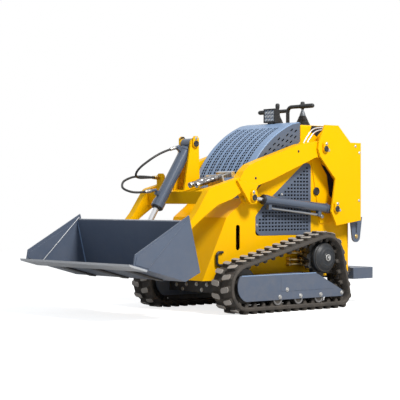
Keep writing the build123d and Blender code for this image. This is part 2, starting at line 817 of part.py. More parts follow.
def tower():
    """Left tower: an outer plate, an inner plate on the body side, and a rear plate between them."""
    outer_points = [
        (ARM_PIVOT_X - TOWER_CROWN_X, CONSOLE_TOP),
        (TOWER_TOP_X, CONSOLE_TOP),
        (TOWER_STEP_X, TOWER_STEP_Z),
        (TOWER_REAR, TOWER_STEP_Z),
        (TOWER_REAR, TOWER_LOW + TOWER_CHIN),
        (LIFT_PIVOT_X - TOWER_FOOT_X, TOWER_LOW - TOWER_FOOT_DROP),
        (LIFT_PIVOT_X + TOWER_EAR_X, LIFT_PIVOT_Z - TOWER_EAR_Z),
        (LIFT_PIVOT_X + TOWER_WAIST_X, LIFT_PIVOT_Z + TOWER_WAIST_Z),
        (LIFT_PIVOT_X + TOWER_HOLLOW_X, LIFT_PIVOT_Z + TOWER_HOLLOW_Z),
        (ARM_PIVOT_X + TOWER_NECK_X, ARM_PIVOT_Z - TOWER_NECK_Z),
        (ARM_PIVOT_X + TOWER_CHEEK_X, ARM_PIVOT_Z),
        (ARM_PIVOT_X + TOWER_BROW_X, ARM_PIVOT_Z + TOWER_BROW_Z),
    ]
    plate = side_shape(outer_points)
    holes = circle_at(ARM_PIVOT_X, ARM_PIVOT_Z, ARM_PIVOT_R + SEAT_GAP)
    holes += circle_at(LIFT_PIVOT_X, LIFT_PIVOT_Z, LIFT_PIN_R + SEAT_GAP)
    inner_points = [
        (ARM_PIVOT_X + TOWER_ROOT, SHOULDER_Z),
        (TOWER_REAR, SHOULDER_Z),
        (TOWER_REAR, TOWER_LOW + TOWER_CHIN),
        (LIFT_PIVOT_X + TOWER_ROOT, TOWER_LOW),
    ]
    tower_part = slab(plate - holes, TOWER_IN, TOWER_OUT)
    tower_part += slab(side_shape(inner_points), BODY_HALF, BODY_HALF + TOWER_INNER_PLATE)
    back_top = SHOULDER_Z - TOWER_BACK_DROP
    back_low = TOWER_LOW + TOWER_BACK_RISE
    back = side_shape(
        [
            (TOWER_REAR, back_top),
            (TOWER_REAR + TOWER_OUTER_PLATE, back_top),
            (TOWER_REAR + TOWER_OUTER_PLATE, back_low),
            (TOWER_REAR, back_low),
        ]
    )
    return tower_part + slab(back, BODY_HALF, TOWER_OUT)


def retained_pin(x, z, radius, y_from, y_to):
    """A pin along Y with an oblong retainer plate, its corners cut, on the outer end."""
    plate = chamfer(Rectangle(2 * PIN_HEAD_R, RETAINER_LENGTH + 2 * PIN_HEAD_R).vertices(), RETAINER_CUT)
    keeper = Plane.XZ * Pos(x, z + RETAINER_LENGTH / 2) * plate
    return disc(x, z, radius, y_from, y_to) + slab(keeper, y_to, y_to + PIN_HEAD)


def tower_pins():
    """Left arm pivot pin and lift cylinder pin, with their retainers."""
    inner = BODY_HALF + TOWER_INNER_PLATE
    arm_pin = retained_pin(ARM_PIVOT_X, ARM_PIVOT_Z, ARM_PIVOT_R, inner, TOWER_OUT)
    lift_pin = retained_pin(LIFT_PIVOT_X, LIFT_PIVOT_Z, LIFT_PIN_R, inner, TOWER_OUT)
    return Compound([arm_pin.solid(), lift_pin.solid()])


def arm_rear_shape():
    """Side view of the rear half of a loader arm, from the tower pivot to the middle."""
    root = ARM_PIVOT_X - ARM_ROOT_SETBACK
    return side_shape(
        [
            (root, ARM_PIVOT_Z + ARM_LOBE_R),
            ARM_SHOULDER,
            ARM_BACK,
            ARM_LAP_REAR,
            ARM_LAP_TOP,
            ARM_LAP_FRONT,
            ARM_LAP_LOW,
            ARM_BELLY,
            ARM_BELLY_REAR,
            (ARM_PIVOT_X + ARM_ROOT_RUN, ARM_PIVOT_Z - ARM_LOBE_R),
            (root, ARM_PIVOT_Z - ARM_LOBE_R),
        ]
    )


def arm_front_shape():
    """Side view of the front half of a loader arm, from the middle to the bucket pivot."""
    outline = Polygon(
        FRONT_TOP_REAR,
        FRONT_KNEE_TOP,
        FRONT_SHIN_TOP,
        FRONT_ANKLE_TOP,
        (BUCKET_PIVOT_X + TOE_TOP, TOE_Z),
        (BUCKET_PIVOT_X + ARM_TIP_R, BUCKET_PIVOT_Z),
        (BUCKET_PIVOT_X - ARM_TIP_R, BUCKET_PIVOT_Z),
        (BUCKET_PIVOT_X - TOE_LOW, TOE_Z),
        FRONT_ANKLE_LOW,
        FRONT_SHIN_LOW,
        FRONT_KNEE_LOW,
        FRONT_LOW,
        FRONT_LOW_REAR,
        align=None,
    )
    knee = outline.vertices().sort_by_distance(Vertex(*FRONT_KNEE_TOP))[0]
    return Plane.XZ * fillet(knee, KNEE_ROUND)


def lift_ear():
    """Side view of the ear under the arm that holds the rod of the lift cylinder."""
    chin = (LIFT_EYE_X + LUG_CHIN, LIFT_EYE_Z - LUG_CHIN)
    return side_shape([LUG_TOP_FRONT, chin, (LIFT_EYE_X, LIFT_EYE_Z), LUG_TOP_REAR])


def loader_arm():
    """Left loader arm, with a slot between its two ears for the rod of the lift cylinder."""
    edge = ARM_OUT + LUG_DOUBLER
    arm = slab(lift_ear(), ARM_IN, edge) + disc(LIFT_EYE_X, LIFT_EYE_Z, LUG_EAR_R, ARM_IN, edge)
    slot = Box(2 * LUG_FREE_R, ARM_WIDTH - 2 * LUG_PLATE, 2 * LUG_FREE_R)
    arm -= Pos(LIFT_EYE_X, ARM_MID, LIFT_EYE_Z) * slot
    arm += slab(arm_rear_shape(), ARM_IN, ARM_OUT)
    arm += slab(arm_front_shape(), FRONT_IN, FRONT_OUT)
    arm += disc(ARM_PIVOT_X, ARM_PIVOT_Z, ARM_LOBE_R, ARM_IN, ARM_OUT)
    arm += disc(BUCKET_PIVOT_X, BUCKET_PIVOT_Z, ARM_TIP_R, FRONT_IN, FRONT_OUT)
    arm -= disc(ARM_PIVOT_X, ARM_PIVOT_Z, ARM_PIVOT_R + PIN_GAP, ARM_IN, ARM_OUT)
    arm -= disc(BUCKET_PIVOT_X, BUCKET_PIVOT_Z, BUCKET_PIN_R + PIN_GAP, ARM_IN, ARM_OUT)
    return arm - disc(LIFT_EYE_X, LIFT_EYE_Z, LIFT_PIN_R + SEAT_GAP, ARM_IN, edge)


def lift_pin_ends():
    """Ends of the left lift cylinder pin in the ears of the arm, the outer one with its retainer."""
    outer = retained_pin(LIFT_EYE_X, LIFT_EYE_Z, LIFT_PIN_R, ARM_OUT - LUG_PLATE, ARM_OUT + LUG_DOUBLER)
    inner = disc(LIFT_EYE_X, LIFT_EYE_Z, LIFT_PIN_R, ARM_IN, ARM_IN + LUG_PLATE)
    return Compound([outer.solid(), inner.solid()])


def cross_member():
    """The box beam between the two arms."""
    return Pos(CROSS_X, 0, CROSS_Z) * Rot(0, ARM_SLOPE, 0) * Box(CROSS_LENGTH, 2 * FRONT_IN, CROSS_HEIGHT)


def tilt_bracket():
    """Two upright plates on the cross-member that hold the top of the tilt cylinder."""
    shape = side_shape(
        [
            (BRACKET_REAR, BRACKET_FOOT),
            (BRACKET_FRONT, BRACKET_FOOT),
            (TILT_PIVOT_X + TILT_EYE_R, TILT_PIVOT_Z),
            (TILT_PIVOT_X - TILT_EYE_R, TILT_PIVOT_Z),
        ]
    )
    shape += circle_at(TILT_PIVOT_X, TILT_PIVOT_Z, TILT_EYE_R)
    shape -= circle_at(TILT_PIVOT_X, TILT_PIVOT_Z, TILT_PIN_R + SEAT_GAP)
    plate = slab(shape, BRACKET_IN, BRACKET_IN + BRACKET_PLATE) - cross_member()
    return pair(plate)


def tilt_pin():
    """The pin through the tilt bracket, with a retainer at each end."""
    half = BRACKET_IN + BRACKET_PLATE
    end = retained_pin(TILT_PIVOT_X, TILT_PIVOT_Z, TILT_PIN_R, 0, half)
    return end + mirrored(end)


def arm_pins():
    """All the pins that the arms carry: the tilt pin and the ends of both lift cylinder pins."""
    return Compound([*tilt_pin().solids(), *pair(lift_pin_ends()).solids()])


def coupler_plane(y):
    """A frame at a coupling's root, with Z along the coupling."""
    slope = radians(ARM_SLOPE)
    across = (-sin(slope), 0, -cos(slope))
    along = (cos(slope), 0, -sin(slope))
    return Plane(origin=(COUPLER_X, y, COUPLER_Z), x_dir=across, z_dir=along)


def couplers():
    """Two hydraulic quick couplings on a plate at the left arm."""
    far = COUPLER_Y - COUPLER_PITCH - COUPLER_PLATE_EDGE
    place = Pos(COUPLER_X, (far + FRONT_IN) / 2, COUPLER_Z - COUPLER_PLATE_DROP) * Rot(0, ARM_SLOPE, 0)
    bodies = place * Box(COUPLER_PLATE, FRONT_IN - far, COUPLER_PLATE_HEIGHT)
    for step in range(2):
        frame = coupler_plane(COUPLER_Y - step * COUPLER_PITCH)
        bodies += frame * extrude(Circle(COUPLER_R), COUPLER_LENGTH)
    return bodies


def arm_pipes():
    """The two steel pipes behind the couplings, held by a clamp block on the inside of the left arm."""
    far = COUPLER_Y - COUPLER_PITCH - COUPLER_PLATE_EDGE
    frame = coupler_plane(0) * Pos(0, 0, -COUPLER_PLATE / 2)
    place = frame * Pos(0, 0, PIPE_BLOCK / 2 - PIPE_LENGTH)
    block = place * Pos(0, (far + ARM_IN) / 2) * Box(PIPE_BLOCK_HEIGHT, ARM_IN - far, PIPE_BLOCK)
    for step in range(2):
        root = Pos(0, COUPLER_Y - step * COUPLER_PITCH, -PIPE_LENGTH)
        block += frame * root * extrude(RegularPolygon(PIPE_R, TUBE_SIDES), PIPE_LENGTH)
    return block


def cylinder_frame(base_x, base_z, eye_x, eye_z, y):
    """A frame whose Z runs from the barrel pin to the rod eye."""
    return Plane(origin=(base_x, y, base_z), x_dir=(0, 1, 0), z_dir=(eye_x - base_x, 0, eye_z - base_z))


def barrel(frame, radius, rod_radius, length, eye_radius, eye_width, pin_radius):
    """A cylinder barrel with its eye and gland, and a bore for the rod."""
    foot = EYE_NECK * eye_radius
    shape = extrude(Pos(0, 0, foot) * Circle(radius), length - foot)
    shape += extrude(Pos(0, 0, length - GLAND) * Circle(radius + GLAND_STEP), GLAND)
    shape -= extrude(Pos(0, 0, BARREL_START) * Circle(rod_radius + PIN_GAP), length)
    shape += Pos(0, 0, foot / 2) * Box(NECK_SHARE * eye_width, eye_radius, EYE_NECK * foot)
    eye = Rot(0, 90, 0) * Cylinder(eye_radius, eye_width)
    hole = Rot(0, 90, 0) * Cylinder(pin_radius + PIN_GAP, 2 * eye_width)
    return frame * (shape + eye - hole)


def rod(frame, pin_length, rod_radius, rod_length, eye_radius, eye_width):
    """A piston rod with its eye."""
    neck = EYE_NECK * eye_radius
    shape = extrude(Pos(0, 0, pin_length - rod_length) * Circle(rod_radius), rod_length - neck)
    shape += Pos(0, 0, pin_length - neck / 2) * Box(NECK_SHARE * eye_width, eye_radius, EYE_NECK * neck)
    shape += Pos(0, 0, pin_length) * Rot(0, 90, 0) * Cylinder(eye_radius, eye_width)
    return frame * shape


def lift_frame():
    """Frame of the left lift cylinder."""
    return cylinder_frame(LIFT_PIVOT_X, LIFT_PIVOT_Z, LIFT_EYE_X, LIFT_EYE_Z, ARM_MID)


def lift_barrel():
    """Left lift cylinder barrel, with a steel pipe under it between its two ports."""
    tube = barrel(
        lift_frame(), LIFT_BARREL_R, LIFT_ROD_R, LIFT_BARREL_LENGTH,
        LIFT_EYE_R, LIFT_EYE_WIDTH + LIFT_EYE_STEP, LIFT_PIN_R,
    )
    drop = LIFT_BARREL_R + PORT_HEIGHT
    section = RegularPolygon(LIFT_PIPE_R, TUBE_SIDES)
    pipe = Pos(0, -drop, LIFT_PORT_REAR) * extrude(section, LIFT_PORT_FRONT - LIFT_PORT_REAR)
    for place in (LIFT_PORT_REAR, LIFT_PORT_FRONT):
        height = drop + PORT_R - LIFT_ROD_R - GLAND_STEP
        pipe += Pos(0, height / 2 - drop - PORT_R, place) * Box(2 * PORT_R, height, 2 * PORT_R)
    return tube + lift_frame() * pipe


def lift_rod():
    """Left lift cylinder rod."""
    length = hypot(LIFT_EYE_X - LIFT_PIVOT_X, LIFT_EYE_Z - LIFT_PIVOT_Z)
    return rod(lift_frame(), length, LIFT_ROD_R, LIFT_ROD_LENGTH, LIFT_EYE_R, LIFT_EYE_WIDTH)


def tilt_frame():
    """Frame of the tilt cylinder."""
    return cylinder_frame(TILT_PIVOT_X, TILT_PIVOT_Z, TILT_EYE_X, TILT_EYE_Z, 0)


def tilt_point(along, out):
    """A point beside the tilt cylinder: along it from its upper pin, and out to its front."""
    length = hypot(TILT_EYE_X - TILT_PIVOT_X, TILT_EYE_Z - TILT_PIVOT_Z)
    step_x = (TILT_EYE_X - TILT_PIVOT_X) / length
    step_z = (TILT_EYE_Z - TILT_PIVOT_Z) / length
    x = TILT_PIVOT_X + along * step_x - out * step_z
    z = TILT_PIVOT_Z + along * step_z + out * step_x
    return Vector(x, 0, z)


def hose_fitting(route, along, boss, ferrule):
    """A port block on the tilt barrel with the ferrule that a hose comes out of."""
    root = (TILT_BARREL_R + TILT_ROD_R) / 2
    outward = tilt_point(along, 1) - tilt_point(along, 0)
    block = Pos(0, 0, (boss - root) / 2) * Box(2 * PORT_R, 2 * PORT_R, boss - root)
    fitting = Plane(origin=tilt_point(along, root), x_dir=(0, 1, 0), z_dir=outward) * block
    start = Vector(*route[0])
    heading = (start - Vector(*route[1])).normalized()
    return fitting + Plane(origin=start, z_dir=heading) * extrude(RegularPolygon(FERRULE_R, TUBE_SIDES), ferrule)


def tilt_barrel():
    """Tilt cylinder barrel with the fittings of its two hoses."""
    tube = barrel(
        tilt_frame(), TILT_BARREL_R, TILT_ROD_R, TILT_BARREL_LENGTH,
        TILT_EYE_R, 2 * BRACKET_IN - 2 * BRACKET_FREE, TILT_PIN_R,
    )
    tube += hose_fitting(UPPER_ROUTE, UPPER_PORT, UPPER_BOSS, UPPER_FERRULE)
    return tube + hose_fitting(LOWER_ROUTE, LOWER_PORT, LOWER_BOSS, LOWER_FERRULE)


def hose(route):
    """A hose along a route of straight runs joined by tangent arcs."""
    points = [Vector(*point) for point in route]
    radii = []
    for before, here, after in zip(points, points[1:], points[2:]):
        turn = (here - before).get_angle(after - here)
        shorter = min((here - before).length, (after - here).length)
        radii.append(HOSE_SHARE * shorter / tan(radians(turn / 2)))
    print("bend radii", [round(radius) for radius in radii])
    path = FilletPolyline(*points, radius=radii)
    section = Plane(origin=points[0], z_dir=points[1] - points[0]) * RegularPolygon(HOSE_R, HOSE_SIDES)
    return sweep(section, path=path)


def hose_bulkhead():
    """A plate on the cross-member with the two ferrules at the far ends of the tilt hoses."""
    width = BULKHEAD_NEAR - BULKHEAD_FAR
    place = Pos(BULKHEAD_X, (BULKHEAD_NEAR + BULKHEAD_FAR) / 2, (BULKHEAD_TOP + BULKHEAD_LOW) / 2)
    part = place * Box(BULKHEAD, width, BULKHEAD_TOP - BULKHEAD_LOW)
    for route in (UPPER_ROUTE, LOWER_ROUTE):
        end = Vector(*route[-1])
        heading = (end - Vector(*route[-2])).normalized()
        reach = (end.X - BULKHEAD_X) / -heading.X - HOSE_END_GAP
        ferrule = extrude(RegularPolygon(FERRULE_R, TUBE_SIDES), reach)
        part += Plane(origin=end + heading * HOSE_END_GAP, z_dir=heading) * ferrule
    return part - cross_member()


def tilt_rod():
    """Tilt cylinder rod."""
    length = hypot(TILT_EYE_X - TILT_PIVOT_X, TILT_EYE_Z - TILT_PIVOT_Z)
    return rod(tilt_frame(), length, TILT_ROD_R, TILT_ROD_LENGTH, TILT_EYE_R, TILT_EYE_WIDTH)


def bucket_place():
    """Where the bucket's own frame lies: at its pivot, rolled back."""
    return Pos(BUCKET_PIVOT_X, 0, BUCKET_PIVOT_Z) * Rot(0, -BUCKET_CURL, 0)


def back_angle():
    """Slope of the bucket's back above its floor, in degrees."""
    return degrees(atan2(TOP_W - REAR_W, TOP_U - REAR_U))


def back_point(along, ahead):
    """A point on the back of the bucket: along it from the lower corner, and ahead of it."""
    slope = radians(back_angle())
    return (
        REAR_U + along * cos(slope) + ahead * sin(slope),
        REAR_W + along * sin(slope) - ahead * cos(slope),
    )


def back_length():
    """Length of the bucket's back from its lower corner to its top."""
    return hypot(TOP_U - REAR_U, TOP_W - REAR_W)


def bucket():
    """The bucket: two cheeks and one folded sheet for its back, heel and floor."""
    cheek = side_shape(
        [
            (HEEL_U, FLOOR_W),
            (FLOOR_FRONT_U, FLOOR_W),
            (CHEEK_U, CHEEK_W),
            (TOP_U, TOP_W),
            (REAR_U, REAR_W),
        ]
    )
    ahead = ATTACH_INSET + ATTACH_PLATE
    low = back_point(0, ahead)
    heel = (HEEL_U, FLOOR_W)
    sheet = side_shape(
        [
            (FLOOR_FRONT_U, FLOOR_W),
            heel,
            low,
            back_point(back_length() - LIP_DROP, ahead),
            back_point(back_length() - LIP_DROP, ahead + BUCKET_SHEET),
            back_point(BUCKET_SHEET, ahead + BUCKET_SHEET),
            (HEEL_U + BUCKET_SHEET, FLOOR_W + BUCKET_SHEET),
            (FLOOR_FRONT_U, FLOOR_W + BUCKET_SHEET),
        ]
    )
    side = slab(cheek, BUCKET_HALF - BUCKET_SHEET, BUCKET_HALF)
    shell = slab(sheet, -BUCKET_HALF, BUCKET_HALF)
    strip_length = EDGE_BACK_U - WEAR_STRIP_START
    for step in (-1, 0, 1):
        place = Pos(WEAR_STRIP_START + strip_length / 2, step * WEAR_STRIP_SPACING, FLOOR_W - WEAR_STRIP / 2)
        shell += place * Box(strip_length, WEAR_STRIP_WIDTH, WEAR_STRIP)
    return bucket_place() * (side + mirrored(side) + shell)


def cutting_edge():
    """The wear edge under the front of the floor."""
    shape = side_shape(
        [
            (EDGE_BACK_U, FLOOR_W),
            (EDGE_TIP_U, FLOOR_W),
            (EDGE_TIP_U - EDGE_BEVEL, FLOOR_W - EDGE),
            (EDGE_BACK_U, FLOOR_W - EDGE),
        ]
    )
    return bucket_place() * slab(shape, -EDGE_HALF, EDGE_HALF)


def attach_plate():
    """The plate behind the bucket, with ears for the arms and for the tilt rod."""
    shape = side_shape(
        [
            back_point(ATTACH_LOW, ATTACH_INSET),
            back_point(back_length() - ATTACH_DROP, ATTACH_INSET),
            back_point(back_length() - ATTACH_DROP, ATTACH_INSET + ATTACH_PLATE),
            back_point(ATTACH_LOW, ATTACH_INSET + ATTACH_PLATE),
        ]
    )
    plate = slab(shape, -ATTACH_HALF, ATTACH_HALF)
    turn = radians(BUCKET_CURL)
    dx = TILT_EYE_X - BUCKET_PIVOT_X
    dz = TILT_EYE_Z - BUCKET_PIVOT_Z
    eye_u = dx * cos(turn) + dz * sin(turn)
    eye_w = dz * cos(turn) - dx * sin(turn)
    reach = ATTACH_INSET + ATTACH_PLATE / 2
    ear_top = back_point(ARM_EAR_TOP, reach)
    arm_ear = side_shape([(-ARM_TIP_R, 0), (0, ARM_TIP_R), ear_top, back_point(ARM_EAR_LOW, reach)])
    arm_ear += circle_at(0, 0, ARM_TIP_R)
    tilt_ear = side_shape(
        [
            (eye_u, eye_w + TILT_EYE_R),
            back_point(TILT_EAR_TOP, reach),
            back_point(ARM_EAR_TOP, reach),
            (eye_u, eye_w - TILT_EYE_R),
        ]
    )
    tilt_ear += circle_at(eye_u, eye_w, TILT_EYE_R)
    ears = slab(tilt_ear, TILT_EYE_WIDTH / 2 + EAR_GAP, TILT_EYE_WIDTH / 2 + EAR_GAP + EAR)
    ears += slab(arm_ear, FRONT_IN - EAR_GAP - EAR, FRONT_IN - EAR_GAP)
    ears += slab(arm_ear, FRONT_OUT + EAR_GAP, FRONT_OUT + EAR_GAP + EAR)
    ears += disc(0, 0, BUCKET_PIN_R, FRONT_IN - EAR_GAP - EAR, FRONT_OUT + EAR_GAP + EAR)
    return bucket_place() * (plate + ears + mirrored(ears))


def platform_bracket():
    """Hinge brackets of the platform on the rear of the body, with the hinge pin."""
    lug = side_shape(
        [
            (BODY_REAR, HINGE_Z + HINGE_LUG_R),
            (HINGE_X, HINGE_Z + HINGE_LUG_R),
            (HINGE_X, HINGE_Z - HINGE_LUG_R),
            (BODY_REAR, HINGE_Z - HINGE_LUG_R),
        ]
    )
    lug += circle_at(HINGE_X, HINGE_Z, HINGE_LUG_R)
    inner = PLATFORM_HALF - HINGE_LUG_IN
    lug_part = slab(lug, inner, inner + HINGE_LUG)
    return lug_part + mirrored(lug_part) + disc(HINGE_X, HINGE_Z, HINGE_R, -inner, inner)


def platform():
    """The folding platform: a tray with deep edges, rounded rear corners and grip slots."""
    front = PLATFORM_FRONT - TRAY_SETBACK
    plan = Pos((front + PLATFORM_REAR) / 2, 0) * Rectangle(front - PLATFORM_REAR, 2 * PLATFORM_HALF)
    rounded = fillet(plan.vertices().sort_by(Axis.X)[:2], PLATFORM_ROUND)
    low = PLATFORM_TOP - PLATFORM_DEPTH
    tray = extrude(Pos(0, 0, low) * rounded, PLATFORM_DEPTH)
    tray -= extrude(Pos(0, 0, low) * offset(rounded, -PLATFORM_SHEET), PLATFORM_DEPTH - PLATFORM_SHEET)
    for step in range(TREAD_SLOTS):
        y = (step - (TREAD_SLOTS - 1) / 2) * TREAD_SLOT_PITCH
        slot = Pos((front + PLATFORM_REAR) / 2, y, PLATFORM_TOP)
        tray -= slot * Box(TREAD_SLOT_LENGTH, TREAD_SLOT_WIDTH, 4 * PLATFORM_SHEET)
    shape = side_shape(
        [
            (HINGE_X, HINGE_Z + HINGE_LUG_R),
            (HINGE_X, HINGE_Z - HINGE_LUG_R),
            (front - PLATFORM_SHEET / 2, HINGE_Z - HINGE_LUG_R),
            (front - PLATFORM_SHEET / 2, PLATFORM_TOP - PLATFORM_SHEET / 2),
            (front, PLATFORM_TOP - PLATFORM_SHEET / 2),
        ]
    )
    shape += circle_at(HINGE_X, HINGE_Z, HINGE_LUG_R)
    shape -= circle_at(HINGE_X, HINGE_Z, HINGE_R + PIN_GAP)
    inner = PLATFORM_HALF - HINGE_ARM_IN
    arm = slab(shape, inner, inner + HINGE_ARM)
    return tray + arm + mirrored(arm)


def arm_prop():
    """The tapered prop plate hung from the rear plate of the left tower."""
    top = TOWER_LOW + TOWER_BACK_RISE
    shape = side_shape(
        [
            (PROP_X - PROP_END_R, PROP_LOW),
            (PROP_X + PROP_END_R, PROP_LOW),
            (PROP_X + PROP_TOP_HALF, top),
            (PROP_X - PROP_TOP_HALF, top),
        ]
    )
    shape += circle_at(PROP_X, PROP_LOW, PROP_END_R)
    return slab(shape, ARM_MID, ARM_MID + PROP_PLATE)


export_step(track(), "parts/track_left.step")
export_step(mirrored(track()), "parts/track_right.step")
export_step(pair(track_wheels()), "parts/track_wheels.step")
export_step(track_frame(), "parts/track_frame_left.step")
export_step(mirrored(track_frame()), "parts/track_frame_right.step")
export_step(pair(sprocket()), "parts/drive_sprockets.step")
export_step(pair(drive_motor()), "parts/drive_motors.step")
export_step(cross_beams(), "parts/undercarriage_beams.step")
export_step(main_body(), "parts/main_body.step")
export_step(side_grille(), "parts/side_grille_left.step")
export_step(mirrored(side_grille()), "parts/side_grille_right.step")
export_step(pair(tie_down()), "parts/tie_downs.step")
export_step(hood(), "parts/hood.step")
export_step(console(), "parts/console.step")
export_step(work_lamp(), "parts/work_lamp.step")
export_step(handlebar(), "parts/handlebar.step")
export_step(joysticks(), "parts/joysticks.step")
export_step(engine(), "parts/engine_block.step")
export_step(tower(), "parts/tower_left.step")
export_step(mirrored(tower()), "parts/tower_right.step")
export_step(pair(tower_pins()), "parts/tower_pins.step")
export_step(loader_arm(), "parts/loader_arm_left.step")
export_step(mirrored(loader_arm()), "parts/loader_arm_right.step")
export_step(cross_member(), "parts/arm_cross_member.step")
export_step(tilt_bracket(), "parts/tilt_bracket.step")
export_step(arm_pins(), "parts/arm_pins.step")
export_step(couplers(), "parts/hydraulic_couplers.step")
export_step(arm_pipes(), "parts/arm_pipes.step")
export_step(hose_bulkhead(), "parts/hose_bulkhead.step")
export_step(hose(UPPER_ROUTE), "parts/tilt_hose_upper.step")
export_step(hose(LOWER_ROUTE), "parts/tilt_hose_lower.step")
export_step(pair(lift_barrel()), "parts/lift_cylinder_barrels.step")
export_step(pair(lift_rod()), "parts/lift_cylinder_rods.step")
export_step(tilt_barrel(), "parts/tilt_cylinder_barrel.step")
export_step(tilt_rod(), "parts/tilt_cylinder_rod.step")
export_step(bucket(), "parts/bucket.step")
export_step(cutting_edge(), "parts/cutting_edge.step")
export_step(attach_plate(), "parts/bucket_attach_plate.step")
export_step(platform(), "parts/operator_platform.step")
export_step(platform_bracket(), "parts/platform_bracket.step")
export_step(arm_prop(), "parts/arm_prop.step")
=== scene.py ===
import json

import bmesh
import bpy
import mathutils
import numpy as np
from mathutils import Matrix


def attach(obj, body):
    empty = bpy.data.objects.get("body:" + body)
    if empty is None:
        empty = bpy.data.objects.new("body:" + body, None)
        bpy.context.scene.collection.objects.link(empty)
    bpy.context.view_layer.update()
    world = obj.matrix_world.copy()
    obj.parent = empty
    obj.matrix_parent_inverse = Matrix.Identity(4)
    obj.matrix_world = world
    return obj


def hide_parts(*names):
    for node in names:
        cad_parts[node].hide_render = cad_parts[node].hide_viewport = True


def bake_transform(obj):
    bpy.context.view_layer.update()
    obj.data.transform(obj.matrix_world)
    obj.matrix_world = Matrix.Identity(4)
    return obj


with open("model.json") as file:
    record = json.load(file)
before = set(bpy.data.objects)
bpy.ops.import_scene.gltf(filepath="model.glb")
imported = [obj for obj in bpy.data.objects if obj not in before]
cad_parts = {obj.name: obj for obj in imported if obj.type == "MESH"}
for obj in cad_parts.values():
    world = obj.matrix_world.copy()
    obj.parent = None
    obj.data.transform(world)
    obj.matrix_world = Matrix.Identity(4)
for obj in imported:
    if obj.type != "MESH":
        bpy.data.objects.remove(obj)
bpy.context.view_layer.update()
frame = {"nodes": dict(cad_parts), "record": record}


# Surfaces and small shapes, as whole arrays

def grid_quads(rows, columns, close_rows=False, close_columns=False):
    """Quads of a grid: each joins a point to its neighbours in the next row and the next column."""
    row = np.arange(rows if close_rows else rows - 1)
    column = np.arange(columns if close_columns else columns - 1)
    here, beside = np.meshgrid(row, column, indexing="ij")
    below = (here + 1) % rows
    right = (beside + 1) % columns
    quads = [
        here * columns + beside, here * columns + right, below * columns + right, below * columns + beside,
    ]
    return np.stack([quad.ravel() for quad in quads], axis=1)


def lathe(profile, sides=24):
    """A turned shape: each radius and height of the profile goes round Z in equal steps."""
    profile = np.asarray(profile, float)
    turn = np.linspace(0, 2 * np.pi, sides, endpoint=False)
    ring = np.stack([np.cos(turn), np.sin(turn)], axis=1)
    points = np.empty((len(profile), sides, 3))
    points[:, :, :2] = profile[:, None, :1] * ring[None]
    points[:, :, 2] = profile[:, 1:2]
    return points.reshape(-1, 3), grid_quads(len(profile), sides, close_columns=True)[:, ::-1]


def pairs(first, second):
    """All pairs of a value of the first row and a value of the second."""
    return np.stack(np.meshgrid(first, second, indexing="ij"), axis=-1).reshape(-1, 2)


def unit(vectors):
    """The same directions with a length of one."""
    return vectors / np.linalg.norm(vectors, axis=-1, keepdims=True)


def along_axis(points, origin, axis, turn=0.0):
    """Turns a shape so that its Z points along an axis, and puts its foot at the origin given."""
    axis = unit(np.asarray(axis, float))
    side = unit(np.cross([0.0, 0.0, 1.0] if abs(axis[2]) < 0.9 else [1.0, 0.0, 0.0], axis))
    up = np.cross(axis, side)
    first = np.cos(turn) * side + np.sin(turn) * up
    second = np.cross(axis, first)
    return points @ np.stack([first, second, axis]) + np.asarray(origin, float)


def copies(shape, frames):
    """Many copies of one shape: each frame holds an origin and three axes, applied to all points at once."""
    points, quads = shape
    placed = np.einsum("ni,kij->knj", points, frames[:, 1:]) + frames[:, None, 0]
    steps = np.arange(len(frames))[:, None, None] * len(points)
    return placed.reshape(-1, 3), (quads[None] + steps).reshape(-1, 4)


def joined(*shapes):
    """Several shapes in one list of points and quads."""
    points = np.concatenate([shape[0] for shape in shapes])
    starts = np.cumsum([0] + [len(shape[0]) for shape in shapes[:-1]])
    return points, np.concatenate([shape[1] + start for shape, start in zip(shapes, starts)])


def mirrored(shape):
    """The same shape on the other side of the middle plane, with its faces turned outwards again."""
    return shape[0] * [1, -1, 1], shape[1][:, ::-1]


def tube(path, radius, sides=12):
    """A round profile carried along a path, square to the path's direction at each point."""
    path = np.asarray(path, float)
    along = unit(np.gradient(path, axis=0))
    reference = np.eye(3)[np.argmin(np.ptp(path, axis=0))]
    side = unit(np.cross(along, reference))
    up = np.cross(side, along)
    turn = np.linspace(0, 2 * np.pi, sides, endpoint=False)
    radius = np.broadcast_to(np.asarray(radius, float), len(path))[:, None, None]
    ring = np.cos(turn)[None, :, None] * side[:, None] + np.sin(turn)[None, :, None] * up[:, None]
    points = path[:, None] + radius * ring
    ends = np.repeat(path[[0, -1], None], sides, axis=1)
    points = np.concatenate([ends[:1], points, ends[1:]])
    return points.reshape(-1, 3), grid_quads(len(points), sides, close_columns=True)


weld_distance = 0.00002
shortest_edge = 0.00001
finish_slots = {}


def piece(name, shape, material, body="chassis", smooth=40.0, closed=True):
    """Puts points and faces into a mesh, gives it its finish and lets it ride on a body where one is named."""
    mesh = bpy.data.meshes.new(name)
    points, quads = shape
    mesh.from_pydata(points.tolist(), [], quads.tolist())
    mesh.validate()
    thing = bpy.data.objects.new(name, mesh)
    bpy.context.scene.collection.objects.link(thing)
    mesh.materials.append(material)
    work = bmesh.new()
    work.from_mesh(mesh)
    bmesh.ops.remove_doubles(work, verts=work.verts, dist=weld_distance)
    bmesh.ops.dissolve_degenerate(work, edges=work.edges, dist=shortest_edge)
    if closed:
        bmesh.ops.recalc_face_normals(work, faces=work.faces)
    work.to_mesh(mesh)
    work.free()
    if smooth:
        mesh.shade_smooth()
        mesh.set_sharp_from_angle(angle=np.radians(smooth))
    if body:
        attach(thing, body)
    return thing


# Camera at the photograph's view, stage and light

